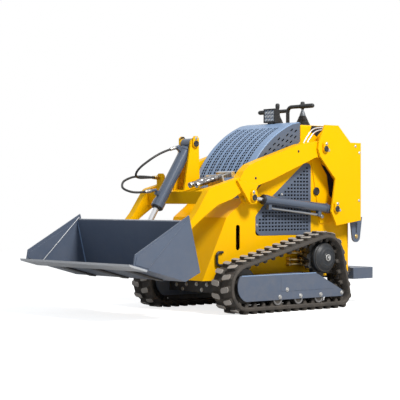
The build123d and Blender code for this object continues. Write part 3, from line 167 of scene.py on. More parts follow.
camera = bpy.data.objects.new("camera", bpy.data.cameras.new("camera"))
bpy.context.scene.collection.objects.link(camera)
camera.data.lens = 124.2
camera.data.sensor_width = 36.0
camera.location = (5.922, 6.6312, 0.6993)
camera.rotation_euler = np.radians([90.0, 0.0, 139.16])
bpy.context.scene.camera = camera
bpy.context.scene.view_settings.view_transform = "Standard"


def nodes_of(material):
    """Clears a material's nodes and gives back a way to add nodes and links."""
    material.use_nodes = True
    tree = material.node_tree
    tree.nodes.clear()

    def add(kind, inputs=None, **settings):
        """Adds a node; an input that is a socket is linked, and any other is set."""
        node = tree.nodes.new(kind)
        for key, value in settings.items():
            setattr(node, key, value)
        for key, value in (inputs or {}).items():
            if isinstance(value, bpy.types.NodeSocket):
                tree.links.new(value, node.inputs[key])
            else:
                node.inputs[key].default_value = value
        return node

    return add


# The surroundings are white to the camera, a mirror or glass, and a pale sky for the light on the object.
world = bpy.data.worlds.new("studio")
bpy.context.scene.world = world
add = nodes_of(world)
path = add("ShaderNodeLightPath")
rays = path.outputs["Is Camera Ray"], path.outputs["Is Glossy Ray"], path.outputs["Is Transmission Ray"]
direct = add("ShaderNodeMath", {0: rays[0], 1: rays[1]}, operation="MAXIMUM")
seen = add("ShaderNodeMath", {0: direct.outputs[0], 1: rays[2]}, operation="MAXIMUM")
lit = add("ShaderNodeBackground", {"Color": (0.84, 0.91, 1.0, 1), "Strength": 0.33})
white = add("ShaderNodeBackground", {"Color": (1, 1, 1, 1), "Strength": 1.0})
mix = add("ShaderNodeMixShader", {0: seen.outputs[0], 1: lit.outputs[0], 2: white.outputs[0]})
add("ShaderNodeOutputWorld", {"Surface": mix.outputs[0]})


def lamp(name, place, aim, size, power, colour):
    """A square soft lamp that looks from its place to its aim."""
    light = bpy.data.lights.new(name, "AREA")
    light.size = size
    light.energy = power
    light.color = colour
    thing = bpy.data.objects.new(name, light)
    bpy.context.scene.collection.objects.link(thing)
    thing.location = place
    way = np.asarray(aim, float) - np.asarray(place, float)
    flat = np.hypot(way[0], way[1])
    thing.rotation_euler = (np.arctan2(flat, -way[2]), 0.0, np.arctan2(way[1], way[0]) - np.pi / 2)


lamp("key", (0.2, 5.2, 6.0), (0.0, 0.1, 0.5), 1.6, 645, (1.0, 0.97, 0.93))
lamp("fill", (5.5, 1.0, 3.2), (0.2, 0.0, 0.5), 4.0, 44, (0.9, 0.95, 1.0))

floor_reach = 9.0
floor_rows = np.linspace(-floor_reach, floor_reach, 3)
floor_points = np.pad(pairs(floor_rows, floor_rows), ((0, 0), (0, 1)))
floor_mesh = bpy.data.meshes.new("floor")
floor_mesh.from_pydata(floor_points.tolist(), [], grid_quads(3, 3).tolist())
floor = bpy.data.objects.new("floor", floor_mesh)
bpy.context.scene.collection.objects.link(floor)
floor_finish = bpy.data.materials.new("floor_finish")
add = nodes_of(floor_finish)
matt = add("ShaderNodeBsdfDiffuse", {"Color": (0.62, 0.62, 0.62, 1)})
glow = add("ShaderNodeEmission", {"Color": (1, 1, 1, 1), "Strength": 0.8})
path = add("ShaderNodeLightPath")
lifted = add("ShaderNodeAddShader", {0: matt.outputs[0], 1: glow.outputs[0]})
mix = add("ShaderNodeMixShader", {0: path.outputs["Is Camera Ray"], 1: matt.outputs[0], 2: lifted.outputs[0]})
add("ShaderNodeOutputMaterial", {"Surface": mix.outputs[0]})
floor_mesh.materials.append(floor_finish)


# Finishes

def finish(
    name, colour, rough, metal=0.0, *, dust=0.1, dust_top=0.55, wear=0.25, bare=(0.32, 0.31, 0.3), grain=220.0,
    bump=0.06, edge=0.0025, fleck=0.1, coat=0.0, shine=0.5, dust_colour=(0.3, 0.25, 0.19), slot=None,
):
    """A painted or bare surface: cloudy colour, dust towards the ground, rubbed edges and fine grain.

    It goes into the record's slot that has its name, or into the slot given.
    The edge mask is one minus the dot product of the true normal and the normal rounded over a small radius.
    """
    material = bpy.data.materials.new(name)
    finish_slots[material.name] = slot or name
    add = nodes_of(material)
    place = add("ShaderNodeTexCoord").outputs["Object"]

    def noise(scale, detail, rough):
        """Cloudy noise on the object's own coordinates."""
        inputs = {"Vector": place, "Scale": scale, "Detail": detail, "Roughness": rough}
        return add("ShaderNodeTexNoise", inputs).outputs[0]

    def spread(value, *ends):
        """A value carried from one range, the first two ends, to another."""
        return add("ShaderNodeMapRange", {0: value, **dict(enumerate(ends, 1))}).outputs[0]

    cloud = noise(5.5, 5.0, 0.62)
    speck = noise(grain, 3.0, 0.6)
    dark = tuple(channel * (1 - fleck) for channel in colour) + (1,)
    light = tuple(min(1.0, channel * (1 + fleck)) for channel in colour) + (1,)
    tint = add("ShaderNodeMix", {0: cloud, 6: dark, 7: light}, data_type="RGBA")
    rounded = add("ShaderNodeBevel", {"Radius": edge}, samples=4).outputs[0]
    true = add("ShaderNodeNewGeometry").outputs["True Normal"]
    alike = add("ShaderNodeVectorMath", {0: rounded, 1: true}, operation="DOT_PRODUCT")
    rim = spread(alike.outputs["Value"], 0.985, 0.86, 0.0, 1.0)
    chipped = spread(noise(34.0, 6.0, 0.72), 0.52, 0.66, 0.0, wear)
    worn = add("ShaderNodeMath", {0: rim, 1: chipped}, operation="MULTIPLY")
    rubbed = add("ShaderNodeMix", {0: worn.outputs[0], 6: tint.outputs[2], 7: bare + (1,)}, data_type="RGBA")
    low = spread(add("ShaderNodeSeparateXYZ", {0: place}).outputs[2], dust_top, 0.0, 0.12, 1.0)
    patch = spread(noise(14.0, 7.0, 0.7), 0.36, 0.7, 0.0, dust)
    dusty = add("ShaderNodeMath", {0: low, 1: patch}, operation="MULTIPLY").outputs[0]
    surface = add("ShaderNodeMix", {0: dusty, 6: rubbed.outputs[2], 7: dust_colour + (1,)}, data_type="RGBA")
    gloss = spread(speck, 0.3, 0.7, max(0.04, rough - 0.07), rough + 0.07)
    dulled = add("ShaderNodeMath", {0: gloss, 1: dusty}, operation="ADD", use_clamp=True)
    relief = add("ShaderNodeBump", {"Strength": bump, "Distance": 0.002, "Height": speck, "Normal": rounded})
    shader = add("ShaderNodeBsdfPrincipled", {
        "Base Color": surface.outputs[2], "Roughness": dulled.outputs[0], "Metallic": metal,
        "Normal": relief.outputs[0], "Coat Weight": coat, "Coat Roughness": 0.12, "Specular IOR Level": shine,
    })
    add("ShaderNodeOutputMaterial", {"Surface": shader.outputs[0]})
    return material


yellow_paint = finish("yellow_paint", (0.93, 0.498, 0.0), 0.38, shine=0.08, wear=0.35, dust=0.08, fleck=0.04)
slate_paint = finish("slate_paint", (0.096, 0.123, 0.177), 0.34, shine=0.28, wear=0.45, dust=0.18)
# A lighter, bluer copy of the slate paint: painted sky reflection on the hood top, also used for painted
# highlights along edges.
lit_slate_paint = finish(
    "lit_slate_paint", (0.212, 0.315, 0.49), 0.38, shine=0.36, wear=0.45, fleck=0.08, slot="slate_paint")
hub_slate = finish(
    "hub_slate", (0.019, 0.023, 0.029), 0.44, shine=0.35, wear=0.4, dust=0.16, fleck=0.12, slot="wheel_steel")
black_paint = finish("black_paint", (0.014, 0.014, 0.016), 0.42, wear=0.4, dust=0.2)
cylinder_paint = finish(
    "cylinder_paint", (0.064, 0.088, 0.134), 0.22, shine=0.55, coat=0.3, wear=0.4, fleck=0.08,
    slot="slate_paint")
black_plastic = finish("black_plastic", (0.011, 0.012, 0.014), 0.5, wear=0.1, dust=0.04, bump=0.25, grain=420.0)
boot_rubber = finish(
    "boot_rubber", (0.013, 0.013, 0.014), 0.62, wear=0.1, bump=0.15, grain=300.0, slot="black_plastic")
track_rubber = finish(
    "track_rubber", (0.036, 0.032, 0.029), 0.74, dust=0.45, dust_top=1.4, wear=1.0, bare=(0.26, 0.23, 0.2),
    bump=0.25, grain=170.0, edge=0.0018, fleck=0.22, dust_colour=(0.17, 0.145, 0.12))
lug_rubber = finish(
    "lug_rubber", (0.028, 0.025, 0.022), 0.74, dust=0.35, dust_top=1.4, wear=0.8, bare=(0.24, 0.21, 0.18),
    bump=0.2, grain=170.0, edge=0.0014, fleck=0.22, dust_colour=(0.17, 0.145, 0.12), slot="track_rubber")
# Lighter lug tops: partly dust and wear, partly a painted highlight where light falls on the tops.
lug_top_dust_and_highlight = finish(
    "lug_top_dust_and_highlight", (0.36, 0.335, 0.31), 0.6, dust=0.5, dust_top=2.0, wear=0.9, bare=(0.52, 0.49, 0.46), bump=0.2,
    grain=150.0, edge=0.0014, fleck=0.18, dust_colour=(0.36, 0.325, 0.285), slot="track_rubber")
wheel_steel = finish("wheel_steel", (0.04, 0.043, 0.048), 0.46, metal=0.55, dust=0.5, wear=0.6, bump=0.2)
chrome_rod = finish("chrome_rod", (0.72, 0.73, 0.75), 0.1, metal=1.0, dust=0.0, wear=0.0, bump=0.01, fleck=0.03)
fitting = {"metal": 1.0, "dust": 0.08, "wear": 0.2, "bump": 0.08, "slot": "zinc_fitting"}
zinc = finish("zinc", (0.56, 0.56, 0.55), 0.3, **fitting)
brass = finish("brass", (0.62, 0.47, 0.22), 0.32, **fitting)
coupling_steel = finish("coupling_steel", (0.25, 0.25, 0.26), 0.24, **fitting)
stick_grey = finish(
    "stick_grey", (0.115, 0.13, 0.15), 0.42, metal=0.2, dust=0.04, wear=0.2, bump=0.05, slot="zinc_fitting")
pipe_grey = finish("pipe_grey", (0.34, 0.35, 0.36), 0.34, metal=0.8, wear=0.3, bump=0.06, slot="zinc_fitting")
pipe_white = finish(
    "pipe_white", (0.7, 0.7, 0.69), 0.34, metal=0.55, dust=0.08, wear=0.2, bump=0.05, slot="zinc_fitting")
edge_steel = finish("edge_steel", (0.47, 0.49, 0.52), 0.38, metal=0.3, dust=0.25, wear=0.9, fleck=0.15)
hose_rubber = finish("hose_rubber", (0.012, 0.012, 0.012), 0.48, wear=0.1, bump=0.3, grain=600.0)
engine_iron = finish("engine_iron", (0.02, 0.02, 0.022), 0.7, metal=0.3, dust=0.3)
roller_steel = finish(
    "roller_steel", (0.2, 0.2, 0.205), 0.36, metal=0.8, dust=0.2, wear=0.3, bump=0.1, slot="wheel_steel")
worn_steel = finish(
    "worn_steel", (0.3, 0.28, 0.26), 0.38, metal=0.9, dust=0.35, wear=0.3, bump=0.15, fleck=0.2,
    slot="wheel_steel")
# Near-black, dull sheets put behind vents, slots and gaps: painted shade of the dark insides.
painted_shade_black = finish("painted_shade_black", (0.006, 0.006, 0.007), 0.8, dust=0.0, wear=0.0, slot="black_paint")
lens_silver = finish(
    "lens_silver", (0.3, 0.32, 0.35), 0.24, metal=0.85, dust=0.0, wear=0.0, bump=0.02, slot="black_plastic")
bulb_white = finish("bulb_white", (0.86, 0.87, 0.85), 0.25, dust=0.0, wear=0.0, bump=0.02, slot="black_plastic")

slot_finishes = {finish_slots[material.name]: material for material in (
    yellow_paint, slate_paint, black_paint, track_rubber, wheel_steel, chrome_rod, zinc, edge_steel,
    black_plastic, hose_rubber, engine_iron,
)}
for part in frame["record"]["subparts"]:
    thing = frame["nodes"][part["node"]]
    thing.material_slots[0].material = slot_finishes[part["material_slot"]]
for name in ("lift_cylinder_barrels", "tilt_cylinder_barrel"):
    frame["nodes"][name].material_slots[0].material = cylinder_paint


# Tilt hoses

def hose(name, node, route, diameter):
    """A hose along a smooth spline whose control points are the route of its solid."""
    curve = bpy.data.curves.new(name + "_line", "CURVE")
    curve.dimensions = "3D"
    curve.resolution_u = 12
    spline = curve.splines.new("NURBS")
    spline.points.add(len(route) - 1)
    spline.points.foreach_set("co", np.column_stack([route, np.ones(len(route))]).ravel())
    spline.order_u = 3
    spline.use_endpoint_u = True
    line = bpy.data.objects.new(name + "_line", curve)
    bpy.context.scene.collection.objects.link(line)
    bpy.context.view_layer.update()
    sampled = bpy.data.meshes.new_from_object(line)
    points = np.empty(3 * len(sampled.vertices))
    sampled.vertices.foreach_get("co", points)
    points = points.reshape(-1, 3)
    bpy.data.objects.remove(line)
    thing = piece(name, tube(points, diameter / 2, 20), hose_rubber, None)
    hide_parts(node)
    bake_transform(thing)


upper_route = np.array([
    (0.431, -0.006, 1.015), (0.486, -0.008, 0.999), (0.572, -0.012, 0.958), (0.656, -0.055, 0.886),
    (0.62, -0.12, 0.835), (0.492, -0.138, 0.84), (0.438, -0.16, 0.842),
])
lower_route = np.array([
    (0.632, -0.006, 0.75), (0.708, -0.003, 0.74), (0.76, -0.066, 0.766), (0.71, -0.137, 0.8),
    (0.664, -0.166, 0.824), (0.562, -0.176, 0.853), (0.434, -0.182, 0.843),
])
hose_diameter = 0.014
hose("tilt_hose_top", "tilt_hose_upper", upper_route, hose_diameter)
hose("tilt_hose_bottom", "tilt_hose_lower", lower_route, hose_diameter)


# Tracks

belt_thickness = 0.022
lug_count = 36
track_middle = 0.392
wheel_rounds = np.array([(0.209, 0.165, 0.123), (-0.615, 0.098, 0.056), (-0.484, 0.33, 0.126)])


def track_line(shares):
    """Points, outward directions and headings of the belt's inner line, at shares of its length.

    For each direction the belt lies on the wheel that reaches furthest that way, so the straight runs come by
    themselves between one wheel and the next. The shares are measured along the belt's outer face.
    """
    turn = np.linspace(-np.pi / 2 - 1e-7, 1.5 * np.pi - 1e-7, 2881)
    out = np.stack([np.cos(turn), np.sin(turn)], axis=1)
    reach = wheel_rounds[:, :2] @ out.T + wheel_rounds[:, 2:]
    wheel = wheel_rounds[np.argmax(reach, axis=0)]
    inner = wheel[:, :2] + wheel[:, 2:] * out
    steps = np.linalg.norm(np.diff(inner + belt_thickness * out, axis=0), axis=1)
    length = np.concatenate([[0.0], np.cumsum(steps)])
    at = np.mod(shares, 1.0) * length[-1]
    line = np.stack([np.interp(at, length, values) for values in (*inner.T, *out.T)], axis=1)
    line[:, 2:] = unit(line[:, 2:])
    flat = np.zeros(len(line))
    points = np.stack([line[:, 0], flat, line[:, 1]], axis=1)
    normals = np.stack([line[:, 2], flat, line[:, 3]], axis=1)
    headings = np.stack([-line[:, 3], flat, line[:, 2]], axis=1)
    return points, normals, headings


def block(levels, cut, shear=0.0):
    """A tapered block: at each height a rectangle with cut corners, leaned along its length by the shear."""
    levels = np.asarray(levels, float)
    side_x = np.array([1, 1, 1, -1, -1, -1, -1, 1])
    side_y = np.array([-1, 1, 1, 1, 1, -1, -1, -1])
    cut_x = cut * np.array([0, 0, 1, 1, 0, 0, 1, 1])
    cut_y = cut * np.array([1, 1, 0, 0, 1, 1, 0, 0])
    across = side_y * (levels[:, 2:] / 2 - cut_y)
    along = side_x * (levels[:, 1:2] / 2 - cut_x) + shear * across
    height = np.broadcast_to(levels[:, :1], across.shape)
    points = np.stack([along, across, height], axis=-1).reshape(-1, 3)
    lid = np.array([[0, 1, 2, 3], [0, 3, 4, 7], [4, 5, 6, 7]])
    last = 8 * (len(levels) - 1)
    return points, np.concatenate([grid_quads(len(levels), 8, close_columns=True), lid, lid + last])


def along_track(shares, y, height, inward=False):
    """Frames on the belt: heading, across and away from the belt, at a height over its inner line."""
    points, normals, headings = track_line(shares)
    across = np.broadcast_to([0.0, 1.0, 0.0], points.shape)
    origin = points + height * normals + [0.0, y, 0.0]
    return np.stack([origin, headings, across, -normals if inward else normals], axis=1)


belt_profile = np.array([
    (-0.09, 0.003), (-0.09, 0.016), (-0.086, 0.021), (-0.072, 0.022), (-0.013, 0.022), (-0.008, 0.019),
    (0.008, 0.019), (0.013, 0.022), (0.072, 0.022), (0.086, 0.021), (0.09, 0.016), (0.09, 0.003),
    (0.086, 0), (-0.086, 0),
])


def track_belt(stations=288):
    """The belt's cross-section carried round the track line."""
    points, normals, _ = track_line(np.arange(stations) / stations)
    skin = points[:, None] + belt_profile[None, :, 1:] * normals[:, None]
    skin[:, :, 1] += track_middle + belt_profile[:, 0]
    return skin.reshape(-1, 3), grid_quads(stations, len(belt_profile), True, True)


lug_levels = [
    (-0.006, 0.048, 0.078), (0, 0.044, 0.076), (0.003, 0.041, 0.074), (0.0165, 0.034, 0.069),
    (0.018, 0.03, 0.065),
]
# Thin skins over the lug tops, which carry the lighter finish of dust, wear and painted highlight.
face_levels = [
    (0.015, 0.033, 0.068), (0.0165, 0.0336, 0.0686), (0.019, 0.0325, 0.0675), (0.02, 0.0305, 0.0655),
]
tooth_levels = [(-0.004, 0.034, 0.03), (0.0, 0.032, 0.028), (0.02, 0.022, 0.024), (0.025, 0.016, 0.018)]
iron_levels = [(-0.003, 0.036, 0.048), (0.0, 0.036, 0.048), (0.0006, 0.032, 0.044)]
lug_steps = np.arange(lug_count)
lug_cut, tooth_cut, iron_cut = 0.008, 0.004, 0.006
lug_lean = 0.16
inner_lug_y, outer_lug_y = 0.3475, 0.4345
inner_tooth_y, outer_tooth_y = 0.353, 0.431


def track_lugs(levels):
    """Two staggered rows of blocks that lean apart, on the outside of the belt."""
    inner_row = along_track(lug_steps / lug_count, inner_lug_y, belt_thickness)
    outer_row = along_track((lug_steps + 0.5) / lug_count, outer_lug_y, belt_thickness)
    inner_lugs = copies(block(levels, lug_cut, -lug_lean), inner_row)
    outer_lugs = copies(block(levels, lug_cut, lug_lean), outer_row)
    return joined(inner_lugs, outer_lugs)


tooth = block(tooth_levels, tooth_cut)
tooth_shares = (lug_steps + 0.25) / lug_count
tooth_rows = [along_track(tooth_shares, y, 0.0, True) for y in (inner_tooth_y, outer_tooth_y)]
left_track = joined(track_belt(), *[copies(tooth, row) for row in tooth_rows])
iron_row = along_track((lug_steps + 0.75) / lug_count, track_middle, 0.0, True)
left_irons = copies(block(iron_levels, iron_cut), iron_row)
both_turns = ("left", lambda shape: shape), ("right", mirrored)
left_lugs, left_faces = track_lugs(lug_levels), track_lugs(face_levels)
for side, turned in both_turns:
    rubber = piece("track_rubber_" + side, turned(left_track), track_rubber)
    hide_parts("track_" + side)
    piece("track_lugs_" + side, turned(left_lugs), lug_rubber, smooth=0)
    piece("lug_faces_" + side, turned(left_faces), lug_top_dust_and_highlight, smooth=0)
    piece("track_irons_" + side, turned(left_irons), worn_steel)


# Hood

def round_through(start, middle, end, shares):
    """Points of the round line through three points, at shares of its angle, with its outward directions."""
    start, middle, end = (np.asarray(point, float) for point in (start, middle, end))
    rows = 2 * np.stack([middle - start, end - start])
    centre = np.linalg.solve(rows, [middle @ middle - start @ start, end @ end - start @ start])
    first = np.arctan2(*(start - centre)[::-1])
    last = np.arctan2(*(end - centre)[::-1])
    turn = first + np.asarray(shares) * (last - first)
    out = np.stack([np.cos(turn), np.sin(turn)], axis=1)
    return centre + np.linalg.norm(start - centre) * out, out


vent_rows = 21
vent_pairs = 7
hood_half = 0.25
hood_fold = 0.006
hood_wall = 0.0025
vents_start, vents_span = 0.115, 0.78
vent_edges = [0.13, 0.87]
row_marks = vents_start + vents_span * (np.arange(vent_rows)[:, None] + vent_edges).ravel() / vent_rows
row_marks = np.concatenate([[0.0, 0.05], row_marks, [0.95, 1.0]])
hood_arc, arc_out = round_through((0.042, 0.78), (-0.118, 1.022), (-0.385, 1.195), row_marks)
hood_lip = np.array([(0.042, 0.7104)])
hood_crown = np.array([
    (-0.42, 1.2022), (-0.449, 1.2072), (-0.4545, 1.2055), (-0.455, 1.201), (-0.455, 1.186),
])
hood_line = np.concatenate([hood_lip, hood_arc, hood_crown])
hood_out = np.concatenate([arc_out[:1], arc_out, np.repeat(arc_out[-1:], len(hood_crown), axis=0)])
hood_sill = np.array([(-0.455, 1.08), (-0.055, 0.755), (-0.005, 0.755)])
pair_pitch, pair_shift = 0.06, -0.012
pair_middles = (np.arange(vent_pairs) - (vent_pairs - 1) / 2) * pair_pitch + pair_shift
pair_marks = np.sort((pair_middles[:, None] + [-0.0188, -0.0028, 0.0028, 0.0188]).ravel())[::-1]


def hood_top(inset, slotted):
    """The front of the hood: its line carried across, and bent down by a quarter round at each side.

    Where it is slotted, the cells between two marks of a row and two marks of a pair are left out.
    """
    bend = np.radians([90.0, 60.0, 30.0, 0.0])
    edge = hood_half - hood_fold + hood_fold * np.sin(bend)
    y = np.concatenate([edge, pair_marks, -edge[::-1]])
    drop = hood_fold * (1 - np.cos(bend))
    drop = np.concatenate([drop, np.zeros(len(pair_marks)), drop[::-1]]) + inset
    points = np.empty((len(hood_line), len(y), 3))
    points[:, :, ::2] = hood_line[:, None] - drop[None, :, None] * hood_out[:, None]
    points[:, :, 1] = y * (1 - inset / hood_half)
    slot = np.zeros((len(hood_line) - 1, len(y) - 1), bool)
    if slotted:
        vents = 3 + 2 * np.arange(vent_rows)
        tops = len(edge) + 4 * np.arange(vent_pairs)[:, None] + [0, 2]
        slot[np.ix_(vents, tops.ravel())] = True
    quads = grid_quads(len(hood_line), len(y)).reshape(*slot.shape, 4)[~slot]
    return points.reshape(-1, 3), quads


def facing(shape, direction):
    """Turns all faces of an open sheet over where the middle one looks away from a direction."""
    points, quads = shape
    middle = points[quads[len(quads) // 2]]
    normal = np.cross(middle[1] - middle[0], middle[-1] - middle[0])
    return points, quads if normal @ direction > 0 else quads[:, ::-1]


def sheet(name, shape, direction, material, thickness=0.0, body="chassis"):
    """An open sheet that looks in a direction, with a wall behind its face where a thickness is given."""
    thing = piece(name, facing(shape, direction), material, body, smooth=0, closed=False)
    if thickness:
        wall = thing.modifiers.new("wall", "SOLIDIFY")
        wall.thickness = thickness
        wall.offset = -1.0
    return thing


def pierced_plate(outline, slots, slot_edges):
    """A flat plate in triangles that keep to its outline and slots; those that lie in a slot are left out.

    A slot is a parallelogram, half of each of its two edges to either side of its middle.
    """
    slot_edges = np.asarray(slot_edges, float)
    corner = np.array([(-0.5, -0.5), (0.5, -0.5), (0.5, 0.5), (-0.5, 0.5)]) @ slot_edges
    rings = slots[:, None] + corner[None]
    points = np.concatenate([outline, rings.reshape(-1, 2)])
    around = np.arange(len(outline))
    quads = len(outline) + np.arange(4 * len(slots)).reshape(-1, 4)
    edges = np.concatenate([
        np.stack([around, np.roll(around, -1)], axis=1),
        np.stack([quads, np.roll(quads, -1, axis=1)], axis=-1).reshape(-1, 2),
    ])
    inside_only, tolerance = 1, 1e-6
    made = mathutils.geometry.delaunay_2d_cdt(points.tolist(), edges.tolist(), [], inside_only, tolerance)
    points, faces = np.array(made[0]), np.array(made[2])
    offset = (points[faces].mean(axis=1)[:, None] - slots[None]) @ np.linalg.inv(slot_edges)
    inside = (np.abs(offset) < 0.5).all(axis=2).any(axis=1)
    return points, faces[~inside]


def plain_plate(outline):
    """A flat plate in triangles with no slots."""
    return pierced_plate(outline, np.empty((0, 2)), np.eye(2))


def side_spots(flat, y):
    """Spots of the side view at one distance from the middle plane."""
    flat = np.asarray(flat, float)
    return np.stack([flat[:, 0], np.full(len(flat), y), flat[:, 1]], axis=1)


def upright(plate, y):
    """A flat plate stood up in the side view at a distance from the middle plane."""
    return side_spots(plate[0], y), plate[1]


front_up = [0.6, 0, 0.8]
shade_sheet_depth, side_shade_sheet_depth = 0.016, 0.014
# The hood top is in the lighter slate, a painted sky reflection; the sides keep the plain slate paint.
hood_skin = sheet("hood_skin", hood_top(0.0, True), front_up, lit_slate_paint, hood_wall)
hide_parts("hood")
# A black sheet a little under the hood, seen through its vents: painted shade of the engine room.
sheet("hood_painted_shade", hood_top(shade_sheet_depth, False), front_up, painted_shade_black)
hood_side = np.concatenate([hood_line - hood_fold * hood_out, hood_sill])
side_steps = pairs(np.arange(-2, 7), np.arange(-5, 5))
side_slots = np.array([-0.301, 1.086]) + side_steps @ np.array([(-0.0362, -0.0055), (-0.04, 0.0335)])
sill_way = unit(hood_sill[0] - hood_sill[1])
over_sill = (side_slots - hood_sill[1]) @ np.array([sill_way[1], -sill_way[0]])
arc_radius = np.linalg.norm(hood_arc[-1] - hood_arc[0]) / np.linalg.norm(arc_out[-1] - arc_out[0])
under_arc = arc_radius - np.linalg.norm(side_slots - (hood_arc[0] - arc_out[0] * arc_radius), axis=1)
sill_margin, arc_margin = 0.026, 0.036
between = (side_slots[:, 0] > -0.432) & (side_slots[:, 0] < -0.1)
side_slots = side_slots[(over_sill > sill_margin) & (under_arc > arc_margin) & between]
side_slot_edges = ((0.012, 0.0018), (-0.0185, 0.0165))
sides = ("left", 1), ("right", -1)
for side, sign in sides:
    cheek = upright(pierced_plate(hood_side, side_slots, side_slot_edges), sign * hood_half)
    sheet("hood_side_" + side, cheek, [0, sign, 0], slate_paint, hood_wall)
    # A black sheet behind each slotted side: painted shade seen through the side slots.
    shade = upright(plain_plate(hood_side), sign * (hood_half - side_shade_sheet_depth))
    sheet("hood_side_painted_shade_" + side, shade, [0, sign, 0], painted_shade_black)


# Side grilles

def rounded_outline(corners, radius, steps=6):
    """A flat outline with round corners: at each one an arc between the points where it leaves the edges."""
    corners = np.asarray(corners, float)
    to_last = unit(np.roll(corners, 1, axis=0) - corners)
    to_next = unit(np.roll(corners, -1, axis=0) - corners)
    half = np.arccos(np.clip((to_last * to_next).sum(axis=1), -1, 1)) / 2
    centre = corners + unit(to_last + to_next) * (radius / np.sin(half))[:, None]
    start = corners + to_last * (radius / np.tan(half))[:, None] - centre
    end = corners + to_next * (radius / np.tan(half))[:, None] - centre
    share = np.linspace(0, 1, steps)[None, :, None]
    swing = np.pi - 2 * half[:, None, None]
    from_start, to_end = np.sin((1 - share) * swing), np.sin(share * swing)
    arc = (from_start * start[:, None] + to_end * end[:, None]) / np.sin(swing)
    return (centre[:, None] + arc).reshape(-1, 2)


grille_corners = np.array([
    (-0.052, 0.473), (-0.052, 0.597), (-0.112, 0.657), (-0.408, 0.88), (-0.488, 0.94), (-0.548, 0.94),
    (-0.548, 0.473),
])
grille_outline = rounded_outline(grille_corners, np.array([0.05, 0.036, 0.03, 0.04, 0.026, 0.026, 0.02]))
lattice_x = -0.09 - 0.0283 * np.arange(17)
lattice_z = 0.508 + 0.0222 * np.arange(21)
lattice = pairs(lattice_x, lattice_z)
edge_way = np.roll(grille_corners, -1, axis=0) - grille_corners
edge_in = unit(np.stack([-edge_way[:, 1], edge_way[:, 0]], axis=1))
room = ((lattice[:, None] - grille_corners[None]) * edge_in[None]).sum(axis=2).min(axis=1)
grille_margin = 0.03
grille_slots = lattice[room > grille_margin]
grille_slot_edges = ((0.0175, 0.0), (0.0, 0.0105))
grille_face, grille_back, grille_wall = 0.2572, 0.242, 0.004
for side, sign in sides:
    panel = upright(pierced_plate(grille_outline, grille_slots, grille_slot_edges), sign * grille_face)
    panel = sheet("grille_panel_" + side, panel, [0, sign, 0], slate_paint, grille_wall)
    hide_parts("side_grille_" + side)
    # A black sheet behind the grille, seen through its slots: painted shade of the dark inside.
    shade = upright(plain_plate(grille_outline), sign * grille_back)
    sheet("grille_painted_shade_" + side, shade, [0, sign, 0], painted_shade_black)


# Bolts, fittings and trim

def set_out(shape, spots, axis, turn=0.0):
    """Copies of a shape with their feet at the spots and their Z along one axis."""
    axes = along_axis(np.eye(3), np.zeros(3), axis, turn)
    spots = np.asarray(spots, float).reshape(-1, 3)
    frames = np.concatenate([spots[:, None], np.broadcast_to(axes, (len(spots), 3, 3))], axis=1)
    return copies(shape, frames)


def both_sides(name, shape, material, body="chassis", **settings):
    """A piece on the left and the same piece, mirrored, on the right."""
    for side, turned in both_turns:
        piece(name + "_" + side, turned(shape), material, body, **settings)


def hex_bolt(radius):
    """A washer and a six-sided head with a chamfered top, both turned profiles on one axis."""
    washer = lathe(radius * np.array([(0, 0), (1.5, 0), (1.5, 0.22), (1.42, 0.3), (0, 0.3)]), 16)
    head = lathe(radius * np.array([(0, 0.2), (1.0, 0.2), (1.0, 0.85), (0.84, 1.0), (0, 1.0)]), 6)
    return joined(washer, head)


forward, up = [1, 0, 0], [0, 0, 1]
left = np.array([0.0, 1.0, 0.0])
frame_face, tower_face, arm_face = 0.46, 0.35, 0.332
frame_spots = side_spots(
    [(-0.07, 0.095), (-0.252, 0.095), (-0.433, 0.096), (-0.626, 0.1), (-0.133, 0.139)], frame_face)
both_sides("frame_bolts", set_out(hex_bolt(0.0095), frame_spots, left), zinc)
grille_spots = side_spots([(-0.285, 0.735), (-0.064, 0.54)], grille_face)
both_sides("grille_bolts", set_out(hex_bolt(0.006), grille_spots, left), zinc)
tower_spots = side_spots([(-0.877, 1.058), (-0.915, 1.015), (-0.912, 0.696)], tower_face)
both_sides("tower_bolts", set_out(hex_bolt(0.0065), tower_spots, left), zinc)
keeper_corners = np.array([
    (-0.0238, -0.0098), (-0.0098, -0.0238), (0.0098, -0.0238), (0.0238, -0.0098),
    (0.0238, 0.0338), (0.0098, 0.0478), (-0.0098, 0.0478), (-0.0238, 0.0338),
])
keeper_depth = 0.011
pin_head = lathe([
    (0, 0), (0.02, 0), (0.02, 0.0035), (0.018, 0.0055), (0.01, 0.0055), (0.0085, 0.0035),
    (0, 0.0035),
], 36)
pins = {
    "tower": np.array([(-0.585, 1.033), (-0.69, 0.641)]),
    "arm": np.array([(0.047, 0.715)]),
    "tilt": np.array([(0.283, 1.053)]),
}
for place, y, bolts, body in (
    ("tower", 0.3628, ((-0.004, 0.034, 0.3623), (-0.036, -0.008, tower_face)), "chassis"),
    ("arm", 0.3548, ((0.006, 0.034, 0.3543), (-0.036, -0.008, 0.342)), "loader_arms"),
    ("tilt", 0.0708, ((0.0, 0.034, 0.0703),), "loader_arms"),
):
    keepers = [upright(plain_plate(pin + keeper_corners), y) for pin in pins[place]]
    for side, sign in sides:
        plates = joined(*[(points * [1, sign, 1], faces) for points, faces in keepers])
        sheet(place + "_keepers_" + side, plates, [0, sign, 0], yellow_paint, keeper_depth, body)
    heads = set_out(pin_head, side_spots(pins[place], y), left)
    both_sides(place + "_pin_heads", heads, black_paint, body)
    bolt_spots = np.concatenate([side_spots(pins[place] + bolt[:2], bolt[2]) for bolt in bolts])
    keeper_bolts = set_out(hex_bolt(0.0072), bolt_spots, left)
    both_sides(place + "_keeper_bolts", keeper_bolts, zinc, body)
arm_spots = side_spots([(-0.361, 1.012), (0.017, 0.836)], arm_face)
